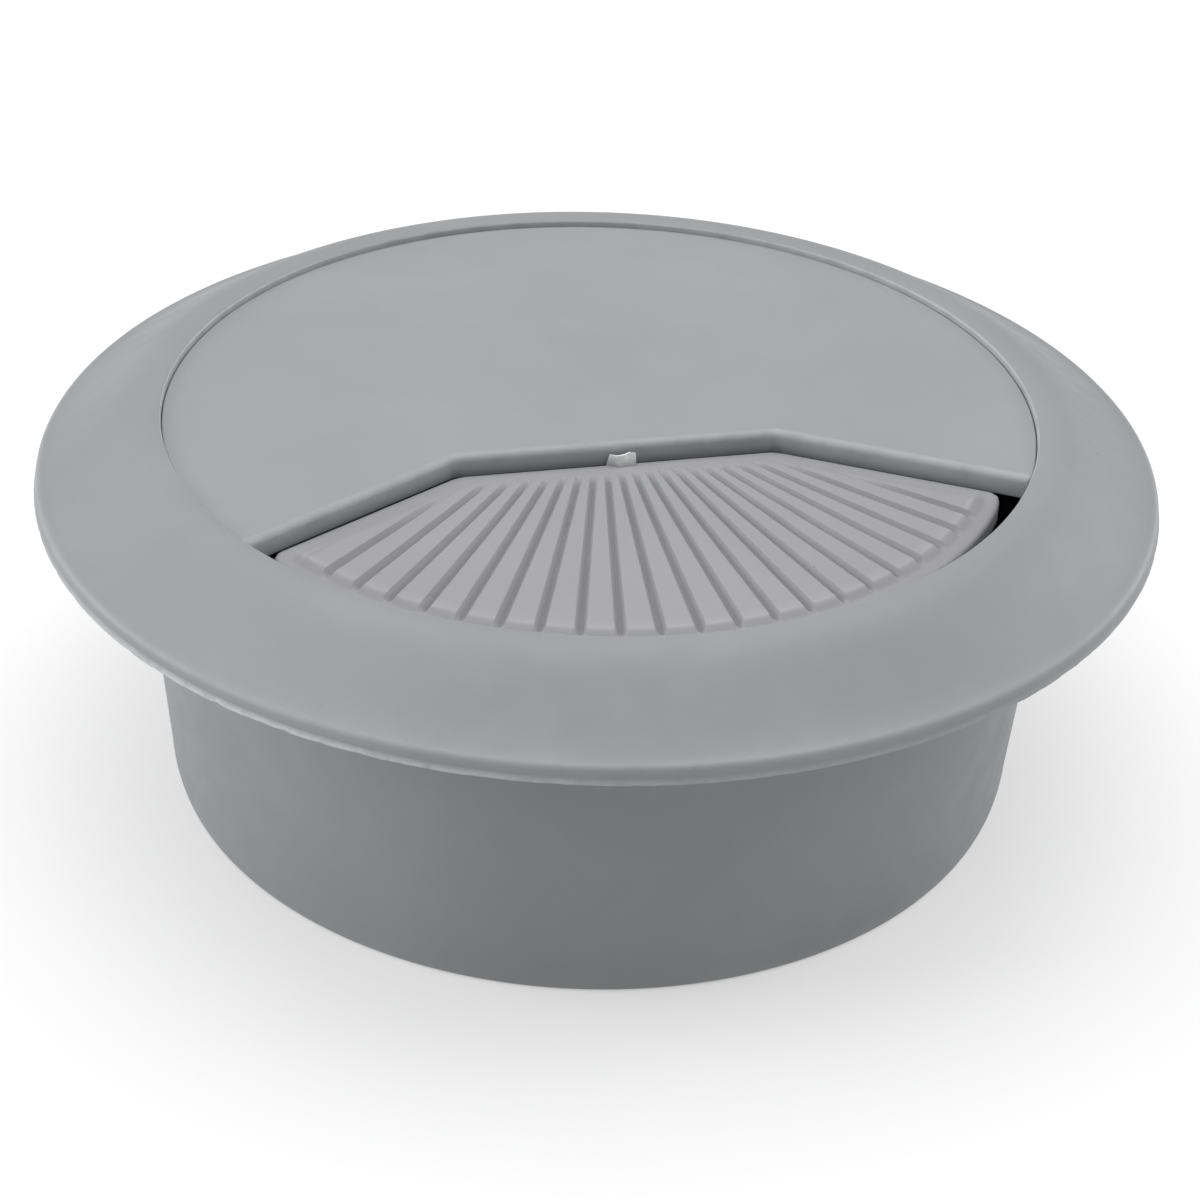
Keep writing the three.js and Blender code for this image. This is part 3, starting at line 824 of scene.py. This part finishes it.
def lug(side):
    root_z = CAP_UNDER_Z + JOIN_OVERLAP
    outline = arc((HINGE_Y, HINGE_Z), (LUG_RADIUS, LUG_RADIUS), -math.pi, 0, LUG_STEPS)
    outline += [(HINGE_Y + LUG_RADIUS, root_z), (HINGE_Y - LUG_RADIUS, root_z)]
    start, end = sorted((side * LUG_INNER_X, side * LUG_OUTER_X))
    return prism("lug", outline, start, end, sideways, MOULD_EDGE)


def cap_wear_and_painted_light(x, y, z):
    # painted light: the cut-out's forward-facing wall and its round stand in shade and are painted
    # paler; the rim's value is real edge wear
    painted_wall_light = 0.8
    wall = smooth(np.minimum.reduce(back_distances(x, y, 0.0)), -0.5, 0)
    rim = smooth(np.hypot(x, y) - CAP_RADIUS, -0.1, 0)
    return np.maximum(painted_wall_light * wall, rim) * (z > CAP_UNDER_Z + CAP_FOOT_ROUND)


def nowhere(*places):
    return np.zeros_like(places[0])


def make_cap():
    cap = cap_disc()
    start = -math.pi / 2 + SKIRT_START
    inner = SKIRT_OUTER_RADIUS - SKIRT_WALL
    ring = ring_sector(inner, SKIRT_OUTER_RADIUS, start, math.pi - start, SKIRT_STEPS)
    foot, root = CAP_UNDER_Z - SKIRT_DEPTH, CAP_UNDER_Z + SKIRT_OVERLAP
    skirt = prism("skirt", ring, foot, root, upright, MOULD_EDGE)
    added = [skirt] + [hook(a) for a in HOOK_ANGLES] + [lug(-1), lug(1)]
    combine(cap, added, "UNION")
    combine(cap, [hinge_bar("bore", BORE_RADIUS, LUG_OUTER_X + 1)], "DIFFERENCE")
    finish_shading(cap)
    mark(cap, "wear_and_painted_light", cap_wear_and_painted_light)
    mark(cap, "whiten", nowhere)
    plastic = moulded_plastic("cap_plastic", CAP_GRAY)
    mount(cap, "cap", "cap", "cap_plastic", plastic)


# ---- flap ----


def back_lines(gap):
    """The cut-out's three walls moved forward by gap: a point on each and the way forward."""
    corner, _ = wing(gap)
    side = Vector((-math.sin(WING_ANGLE), -math.cos(WING_ANGLE)))
    middle = (Vector((0, WALL_Y - gap)), Vector((0, -1)))
    return [middle, (corner, side), (Vector((-corner.x, corner.y)), Vector((-side.x, side.y)))]


def back_distances(x, y, gap):
    return [(x - p.x) * n.x + (y - p.y) * n.y for p, n in back_lines(gap)]


def leaf_outline():
    """The flap's outline from above, anticlockwise from the left end of its front edge."""
    corner, forward = wing(FLAP_GAP)
    tip = corner + forward * circle_reach(corner, forward, FLAP_RADIUS)
    front_angle = math.atan2(tip.y, tip.x) - FLAP_CORNER / FLAP_RADIUS
    radii = (FLAP_RADIUS, FLAP_RADIUS)
    front = arc((0, 0), radii, -math.pi - front_angle, front_angle, FLAP_FRONT_STEPS)
    front = [Vector(p) for p in front]
    tip_end = tip - forward * FLAP_CORNER
    tip_round = eased_corner(tip, front[-1], tip_end, FLAP_CORNER_STEPS)[1:]
    before = corner + forward * FLAP_BACK_CORNER
    after = corner - Vector((FLAP_BACK_CORNER, 0))
    back_round = eased_corner(corner, before, after, FLAP_BACK_CORNER_STEPS)
    right = tip_round + back_round
    return front + right + mirrored(right)


def groove_half_width(reach):
    share = (reach - GROOVE_NEAR_REACH) / (GROOVE_FAR_REACH - GROOVE_NEAR_REACH)
    return lerp(*GROOVE_WIDTHS, np.clip(share, 0, 1)) / 2


def strip_reach(angle, width):
    """The reach at which a ray from the apex is that far in front of the flap's back edge."""
    least_rate = 1e-4
    ray = Vector((math.sin(angle), -math.cos(angle)))
    found = 0.0
    for point, forward in back_lines(FLAP_GAP + width):
        rate = ray.dot(forward)
        if rate > least_rate:
            found = max(found, (point - FAN_APEX).dot(forward) / rate)
    return found


# Where the leaf's columns stand, across each groove in half widths from its middle and across each
# rib from its left side. Those of the two end ribs are shares inwards from the flap's tip.
GROOVE_COLUMNS = (-1, -0.93, -0.86, -0.78, -0.45, -0.2, 0, 0.2, 0.45, 0.78, 0.86, 0.93, 1)
RIB_COLUMNS = (0.08, 0.3, 0.5, 0.7, 0.92)
END_RIB_COLUMNS = (0, 0.003, 0.008, 0.015, 0.03, 0.05, 0.08, 0.12, 0.16, 0.2, 0.25)
END_RIB_COLUMNS += (0.3, 0.36, 0.42, 0.5, 0.58, 0.66, 0.74, 0.82, 0.9, 0.97)
STEP_COLUMNS = 4

# Where each column has its points: in front of the back edge, along the ribs, and in from the rim.
ROUND_PLACES = (0.03, 0.09, 0.16, FLAP_EDGE_ROUND)
STRIP_PLACES = (0.55, STRIP_WIDTH, 1.05, 1.2, 1.4, STRIP_RISE_END)
RIB_PLACES, RIB_SPREAD = 30, 1.15
STEP_PLACES, BEFORE_STEP, BEYOND_STEP = 10, 0.1, 0.15
RIM_PLACES = (0.6, *ROUND_PLACES)
FIRST_REACH, REACH_PASSES = 20.0, 6


class Leaf:
    """The flap's ribbed top, as heights over a fan of columns that run with the ribs."""

    def __init__(self):
        outline = np.array([tuple(p) for p in leaf_outline()])
        self.starts = outline
        edges = np.roll(outline, -1, axis=0) - outline
        lengths = np.linalg.norm(edges, axis=1)[:, None]
        self.inward = np.stack([-edges[:, 1], edges[:, 0]], 1) / lengths
        self.apex = np.array(FAN_APEX)
        spread = outline - self.apex
        angles = np.arctan2(spread[:, 0], -spread[:, 1])
        self.end_angles = (angles.min() + END_RAY_MARGIN, angles.max() - END_RAY_MARGIN)

    def column_angle(self, column, reach):
        """Angle at a reach of a column, which is a place across a groove or across a rib."""
        index, kind, share = column
        half = groove_half_width(reach) / reach
        middle = FAN_TURN + index * RIB_PITCH
        if kind == "groove":
            return middle + share * half
        start = middle + half
        end = middle + RIB_PITCH - half
        if index == LAST_GROOVE:
            end = self.end_angles[1]
        if index == FIRST_GROOVE - 1:
            start = self.end_angles[0]
        return lerp(start, end, share)

    def columns(self):
        found = [(FIRST_GROOVE - 1, "rib", share) for share in self.end_rib_shares(-1)]
        for index in range(FIRST_GROOVE, LAST_GROOVE + 1):
            found += [(index, "groove", share) for share in GROOVE_COLUMNS]
            if index < LAST_GROOVE:
                found += [(index, "rib", share) for share in RIB_COLUMNS]
        found += [(LAST_GROOVE, "rib", 1 - share) for share in reversed(self.end_rib_shares(1))]
        return found

    def end_rib_shares(self, side):
        """Shares across an end rib from its outer end, with some where the step runs out."""
        shares = list(END_RIB_COLUMNS)
        half = GROOVE_WIDTHS[1] / 2 / GROOVE_FAR_REACH
        if side > 0:
            outer, inner = self.end_angles[1], FAN_TURN + LAST_GROOVE * RIB_PITCH + half
        else:
            outer, inner = self.end_angles[0], FAN_TURN + FIRST_GROOVE * RIB_PITCH - half
        for width in (0, FLAP_EDGE_ROUND):
            corner, forward = wing(FLAP_GAP + width)
            for radius in np.linspace(STEP_START, STEP_END, STEP_COLUMNS):
                point = corner + forward * circle_reach(corner, forward, radius)
                ray = Vector((side * point.x, point.y)) - FAN_APEX
                share = (outer - math.atan2(ray.x, -ray.y)) / (outer - inner)
                shares.append(min(max(share, 0), 1))
        return sorted(shares)

    def outline_reach(self, angle):
        """The reach at which a ray from the apex enters the outline, and at which it leaves."""
        ray = np.array([math.sin(angle), -math.cos(angle)])
        rate = self.inward @ ray
        depth = np.einsum("ij,ij->i", self.inward, self.apex - self.starts)
        least_rate = 1e-12
        crossing = -depth / np.where(np.abs(rate) < least_rate, least_rate, rate)
        return crossing[rate > 0].max(), crossing[rate < 0].min()

    def reaches(self, column):
        """Rising reaches for a column's points, close together where the height changes."""
        def at(find):
            reach = FIRST_REACH
            for _ in range(REACH_PASSES):
                reach = find(self.column_angle(column, reach))
            return reach

        def round_reach(radius):
            def find(angle):
                ray = Vector((math.sin(angle), -math.cos(angle)))
                return circle_reach(FAN_APEX, ray, radius)
            return at(find)

        near = at(lambda angle: self.outline_reach(angle)[0])
        far = at(lambda angle: self.outline_reach(angle)[1])
        found = [near]
        for width in ROUND_PLACES + STRIP_PLACES:
            found.append(at(lambda angle, width=width: strip_reach(angle, width)))
        ribs_end = round_reach(STEP_START - BEFORE_STEP)
        ribs_start = min(found[-1], ribs_end)
        shares = np.linspace(0, 1, RIB_PLACES)[1:] ** RIB_SPREAD
        found += [lerp(ribs_start, ribs_end, share) for share in shares]
        rings = list(np.linspace(STEP_START, STEP_END, STEP_PLACES)) + [STEP_END + BEYOND_STEP]
        rings += [FLAP_RADIUS - inset for inset in RIM_PLACES]
        found += [round_reach(radius) for radius in rings] + [far]
        return np.clip(np.sort(found), near, far)

    def edge_distance(self, x, y):
        points = np.stack([x, y], 1)
        best = np.full(len(points), np.inf)
        for start, inward in zip(self.starts, self.inward):
            best = np.minimum(best, (points - start) @ inward)
        return np.maximum(best, 0)

    def groove_share(self, x, y):
        """How far each point is from the nearest groove's middle, in groove half widths."""
        side, ahead = x - self.apex[0], self.apex[1] - y
        reach = np.hypot(side, ahead)
        angle = np.arctan2(side, ahead)
        turn = angle - FAN_TURN
        index = np.clip(np.round(turn / RIB_PITCH), FIRST_GROOVE, LAST_GROOVE)
        return np.abs(turn - index * RIB_PITCH) * reach / groove_half_width(reach), reach

    def height(self, x, y):
        back = np.minimum.reduce(back_distances(x, y, FLAP_GAP))
        radius = np.hypot(x, y)
        share, reach = self.groove_share(x, y)
        along = (reach - GROOVE_NEAR_REACH) / (GROOVE_FAR_REACH - GROOVE_NEAR_REACH)
        depth = lerp(*GROOVE_DEPTHS, np.clip(along, 0, 1))
        depth = depth * smooth(back, STRIP_WIDTH, STRIP_WIDTH + GROOVE_FADE)
        bottom = GROOVE_BOTTOM_ROUND
        valley = 1 - (np.hypot(share, bottom) - bottom) / (math.hypot(1, bottom) - bottom)
        groove = valley * smooth(share, 1.0, GROOVE_EDGE_START) * depth
        strip = STRIP_DROP * (1 - smooth(back, STRIP_WIDTH, STRIP_RISE_END))
        ribs = RIB_TOP_Z - np.maximum(groove, strip)
        border_drop = BORDER_DROP + BORDER_SLOPE * np.maximum(radius - STEP_START, 0)
        border = RIB_TOP_Z - lerp(STRIP_DROP, border_drop, smooth(back, *BORDER_RISE))
        z = lerp(ribs, border, smooth(radius, STEP_START, STEP_END))
        inside = np.clip(FLAP_EDGE_ROUND - self.edge_distance(x, y), 0, FLAP_EDGE_ROUND)
        return z - FLAP_EDGE_ROUND + np.sqrt(FLAP_EDGE_ROUND ** 2 - inside ** 2)

    def top(self):
        grid = []
        for column in self.columns():
            reach = self.reaches(column)
            angle = np.array([self.column_angle(column, r) for r in reach])
            x = self.apex[0] + reach * np.sin(angle)
            y = self.apex[1] - reach * np.cos(angle)
            grid.append(np.stack([x, y, self.height(x, y)], 1))
        return grid


def flap_plate():
    bm = bmesh.new()
    columns = [[bm.verts.new(Vector(p) * MM) for p in column] for column in Leaf().top()]
    for left, right in zip(columns, columns[1:]):
        for i in range(len(left) - 1):
            bm.faces.new((left[i], left[i + 1], right[i + 1], right[i]))
    bmesh.ops.remove_doubles(bm, verts=bm.verts, dist=MERGE_WITHIN * MM)
    middle = Vector((0, -(abs(WALL_Y) + FLAP_RADIUS) / 2, 0)) * MM
    chamfer = FLAP_FOOT_CHAMFER
    for z, inset in ((FLAP_UNDER_Z + chamfer, 0.0), (FLAP_UNDER_Z, chamfer)):
        rim = [e for e in bm.edges if len(e.link_faces) == 1]
        made = bmesh.ops.extrude_edge_only(bm, edges=rim)["geom"]
        for vert in (v for v in made if isinstance(v, bmesh.types.BMVert)):
            inwards = (middle - vert.co) * Vector((1, 1, 0))
            vert.co += inwards.normalized() * inset * MM
            vert.co.z = z * MM
    rim = [e for e in bm.edges if len(e.link_faces) == 1]
    bmesh.ops.edgeloop_fill(bm, edges=rim)
    return new_piece("flap_moulding", bm)


def knuckle(side):
    heel_drop = CAP_UNDER_Z - LEDGE_GAP - HINGE_Z
    heel_angle = math.asin(heel_drop / HEEL_RADIUS) - FLAP_TRAVEL
    lean = math.acos(KNUCKLE_RADIUS / HEEL_RADIUS)
    hinge = (HINGE_Y, HINGE_Z)
    radii = (KNUCKLE_RADIUS, KNUCKLE_RADIUS)
    heel = (HINGE_Y + HEEL_RADIUS * math.cos(heel_angle), HINGE_Z + HEEL_RADIUS * math.sin(heel_angle))
    root = WALL_Y - FLAP_GAP
    under_steps, over_steps = 6, 12
    top_reach, foot_reach, foot_share, foot_rise = 0.5, 1.5, 0.9, 0.6
    outline = arc(hinge, radii, -math.pi / 2, heel_angle - lean, under_steps)
    outline.append(heel)
    outline += arc(hinge, radii, heel_angle + lean, math.pi / 2, over_steps)
    outline += [
        (root - top_reach, HINGE_Z + KNUCKLE_RADIUS),
        (root - KNUCKLE_REACH, FLAP_UNDER_Z + KNUCKLE_NOSE),
        (root - KNUCKLE_REACH, FLAP_UNDER_Z - KNUCKLE_NOSE),
        (root - foot_reach, HINGE_Z - foot_share * KNUCKLE_RADIUS + foot_rise),
    ]
    start, end = sorted((side * KNUCKLE_INNER_X, side * KNUCKLE_OUTER_X))
    return prism("knuckle", outline, start, end, sideways, KNUCKLE_EDGE)


def stub():
    """The torn moulding stub at the middle of the flap's back edge: a tab with a folded corner."""
    bm = bmesh.new()

    def corner(across, forward, up):
        y = WALL_Y - FLAP_GAP - forward
        return bm.verts.new(Vector((STUB_X + across, y, RIB_TOP_Z + up)) * MM)

    near = [corner(across, forward, up) for across, forward, up in STUB_FRONT]
    far = []
    for across, _, up in STUB_FRONT:
        far.append(corner(STUB_BACK_WIDTH * across, 0, STUB_BACK_HEIGHT * up))
    bm.faces.new((near[0], near[STUB_FOLD_START], near[STUB_FOLD_END]))
    bm.faces.new(near[STUB_FOLD_START:])
    bm.faces.new(far)
    for i in range(len(near)):
        j = (i + 1) % len(near)
        bm.faces.new((near[i], near[j], far[j], far[i]))
    return new_piece("stub", bm)


def flap_wear(x, y, z):
    """Slight wear on the brow where the ribs end above the border."""
    strength = 0.15
    from_brow = np.hypot(np.hypot(x, y) - STEP_START, z - RIB_TOP_Z)
    return strength * (1 - smooth(from_brow, 0.03, 0.25))


def stub_whiten(x, y, z):
    half_width, reach = 1.2, 0.7
    inside = (np.abs(x - STUB_X) < half_width) & (y > WALL_Y - FLAP_GAP - reach)
    return inside * smooth(z - RIB_TOP_Z, -0.02, 0.15)


def make_flap():
    flap = flap_plate()
    combine(flap, [knuckle(-1), knuckle(1), stub()], "UNION")
    combine(flap, [hinge_bar("bore", BORE_RADIUS, KNUCKLE_OUTER_X + 1)], "DIFFERENCE")
    finish_shading(flap)
    mark(flap, "wear_and_painted_light", flap_wear)
    mark(flap, "whiten", stub_whiten)
    plastic = moulded_plastic("flap_plastic", FLAP_GRAY)
    mount(flap, "flap", "flap", "flap_plastic", plastic)


# ---- hinge pin and spring ----


def pin_section():
    """Half of the pin's section, as (radius, x) points from end to end."""
    end = -PIN_HALF_LENGTH
    crown_out, crown_in = PIN_CROWN_POINT
    chamfer_out, chamfer_in = PIN_CHAMFER_POINT
    section = [
        (0.0, end),
        (crown_out * PIN_RADIUS, end + crown_in * PIN_CROWN),
        (PIN_RADIUS - PIN_CHAMFER, end + PIN_CROWN),
        (PIN_RADIUS - chamfer_out * PIN_CHAMFER, end + PIN_CROWN + chamfer_in * PIN_CHAMFER),
        (PIN_RADIUS, end + PIN_CROWN + PIN_CHAMFER),
    ]
    return section + [(r, -x) for r, x in reversed(section)]


def make_pin():
    bm = bmesh.new()
    rings = []
    for r, x in pin_section():
        if r == 0:
            rings.append([bm.verts.new(Vector((x, HINGE_Y, HINGE_Z)) * MM)])
            continue
        circle = arc((HINGE_Y, HINGE_Z), (r, r), 0, 2 * math.pi, PIN_SIDES)[:-1]
        rings.append([bm.verts.new(Vector((x, y, z)) * MM) for y, z in circle])
    for one, other in zip(rings, rings[1:]):
        for i in range(PIN_SIDES):
            j = (i + 1) % PIN_SIDES
            near = (one[i % len(one)], one[j % len(one)])
            far = (other[j % len(other)], other[i % len(other)])
            bm.faces.new(dict.fromkeys(near + far))
    pin = new_piece("hinge_pin_rod", bm)
    finish_shading(pin)
    steel = drawn_steel("pin_steel", PIN_STEEL, DRAWN_ALONG_X)
    mount(pin, "cap", "hinge_pin", "pin_steel", steel)


def spring_line():
    """The wire's centre line: a leg under the cap, the coil, and a leg under the flap."""
    start = FIXED_LEG_TILT - math.pi / 2
    turn = 2 * math.pi * COIL_TURNS + FIXED_LEG_TILT + FLAP_LEG_TILT
    half_width = COIL_PITCH * COIL_TURNS / 2

    def on_coil(share):
        angle = start - share * turn
        y = HINGE_Y + COIL_RADIUS * math.cos(angle)
        z = HINGE_Z + COIL_RADIUS * math.sin(angle)
        return Vector((lerp(-half_width, half_width, share), y, z))

    fixed = Vector((0, math.cos(FIXED_LEG_TILT), math.sin(FIXED_LEG_TILT)))
    moving = Vector((0, -math.cos(FLAP_LEG_TILT), math.sin(FLAP_LEG_TILT)))
    line = [on_coil(0) + fixed * FIXED_LEG * (1 - k / LEG_STEPS) for k in range(LEG_STEPS)]
    coil_steps = STEPS_A_TURN * COIL_TURNS
    line += [on_coil(k / coil_steps) for k in range(coil_steps + 1)]
    line += [on_coil(1) + moving * FLAP_LEG * (k + 1) / LEG_STEPS for k in range(LEG_STEPS)]
    return line


def wire_ring(bm, centre, normal, side, radius):
    ring = []
    for k in range(WIRE_SIDES):
        a = 2 * math.pi * k / WIRE_SIDES
        around = normal * math.cos(a) + side * math.sin(a)
        ring.append(bm.verts.new((centre + around * radius) * MM))
    return ring


def make_spring():
    line = spring_line()
    bm = bmesh.new()
    rings = []
    normal = Vector((1, 0, 0))
    for i, point in enumerate(line):
        ahead = line[min(i + 1, len(line) - 1)] - line[max(i - 1, 0)]
        ahead.normalize()
        normal = (normal - ahead * normal.dot(ahead)).normalized()
        side = ahead.cross(normal)
        last = i in (0, len(line) - 1)
        radius = WIRE_RADIUS - WIRE_END_ROUND if last else WIRE_RADIUS
        rings.append(wire_ring(bm, point, normal, side, radius))
        if i == 0:
            collar = line[0] + ahead * WIRE_END_ROUND
            rings.append(wire_ring(bm, collar, normal, side, WIRE_RADIUS))
        if i == len(line) - 2:
            collar = line[-1] - ahead * WIRE_END_ROUND
            rings.append(wire_ring(bm, collar, normal, side, WIRE_RADIUS))
    for one, other in zip(rings, rings[1:]):
        for k in range(WIRE_SIDES):
            j = (k + 1) % WIRE_SIDES
            bm.faces.new((one[k], one[j], other[j], other[k]))
    bm.faces.new(rings[0])
    bm.faces.new(rings[-1])
    spring = new_piece("torsion_spring", bm)
    spring.data.shade_smooth()
    spring.data.set_sharp_from_angle(angle=WIRE_SHARP_ABOVE)
    spring.data.materials.append(drawn_steel("spring_steel", SPRING_STEEL, DRAWN_ANY_WAY))
    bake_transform(spring)
    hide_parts("return_spring")


# ---- studio ----


FLOOR_TONES = (0.38, 0.38, 0.385, 1), (0.42, 0.42, 0.42, 1)
FLOOR_GLOW = 0.5
GLOW_START, GLOW_END = 27.0 * MM, 28.0 * MM  # from the middle, so that it stays dark in the sleeve
LIGHT_TARGET = (0, 0, 0.015)
SKY_COLOR, SKY_STRENGTH = (0.985, 0.985, 1.0, 1), 0.23


def soft_light(name, place, size, watts, color=(1, 1, 1)):
    data = bpy.data.lights.new(name, "AREA")
    data.shape = "RECTANGLE"
    data.size, data.size_y = size
    data.energy = watts
    data.color = color
    light = bpy.data.objects.new(name, data)
    light.location = place
    aim = Vector(LIGHT_TARGET) - Vector(place)
    light.rotation_euler = aim.to_track_quat("-Z", "Y").to_euler()
    bpy.context.scene.collection.objects.link(light)


def make_floor():
    half = 3.0
    corners = ((-half, -half), (half, -half), (half, half), (-half, half))
    bm = bmesh.new()
    bm.faces.new([bm.verts.new((x, y, 0)) for x, y in corners])
    floor = new_piece("floor", bm)
    n = Nodes("pale_floor")
    n.link(n.mix(n.noise(scale=6, detail=2), *FLOOR_TONES), n.shader.inputs["Base Color"])
    n.shader.inputs["Roughness"].default_value = 0.9
    n.shader.inputs["Specular IOR Level"].default_value = 0.1
    from_middle = n.add("ShaderNodeVectorMath", operation="LENGTH")
    n.link(n.place, from_middle.inputs[0])
    glow = n.ranged(from_middle.outputs["Value"], GLOW_START, GLOW_END)
    n.link(glow, n.shader.inputs["Emission Color"])
    n.shader.inputs["Emission Strength"].default_value = FLOOR_GLOW
    floor.data.materials.append(n.material)


def make_lights():
    soft_light("overhead", (0.0, 0.22, 0.75), size=(0.9, 0.9), watts=6.0)
    soft_light("front_top", (0.0, -0.35, 0.75), size=(0.7, 0.7), watts=2.5)
    panel, cool, cooler = (0.5, 0.5), (0.98, 0.98, 1.0), (0.97, 0.97, 1.0)
    soft_light("left_panel", (-0.75, 0.2, 0.25), size=panel, watts=4.5, color=cooler)
    soft_light("right_panel", (0.75, 0.15, 0.25), size=panel, watts=3.0, color=cool)
    world = bpy.data.worlds.new("studio")
    world.use_nodes = True
    sky = world.node_tree.nodes["Background"]
    sky.inputs["Color"].default_value = SKY_COLOR
    sky.inputs["Strength"].default_value = SKY_STRENGTH
    bpy.context.scene.world = world


def make_camera():
    lens, sensor = 83.93, 36.0
    distance = 181.75 * MM
    azimuth, elevation = math.radians(-13.36), math.radians(29.0)
    pan, tilt, roll = (math.radians(a) for a in (0.133, 2.825, -2.0))
    data = bpy.data.cameras.new("camera")
    data.lens = lens
    data.sensor_width = sensor
    data.clip_start, data.clip_end = 0.01, 20
    back = Vector((
        math.sin(azimuth) * math.cos(elevation),
        -math.cos(azimuth) * math.cos(elevation),
        math.sin(elevation),
    ))
    right = Vector((math.cos(azimuth), math.sin(azimuth), 0))
    facing = Matrix((right, back.cross(right), back)).transposed()
    turns = Matrix.Rotation(-pan, 3, "Y") @ Matrix.Rotation(-tilt, 3, "X")
    turns = turns @ Matrix.Rotation(-roll, 3, "Z")
    camera = bpy.data.objects.new("camera", data)
    place = Vector((0, 0, SEAT_Z * MM)) + back * distance
    camera.matrix_world = Matrix.Translation(place) @ (facing @ turns).to_4x4()
    bpy.context.scene.collection.objects.link(camera)
    bpy.context.scene.camera = camera


bpy.context.scene.view_settings.view_transform = "Standard"
make_liner()
make_cap()
make_flap()
make_pin()
make_spring()
make_floor()
make_lights()
make_camera()
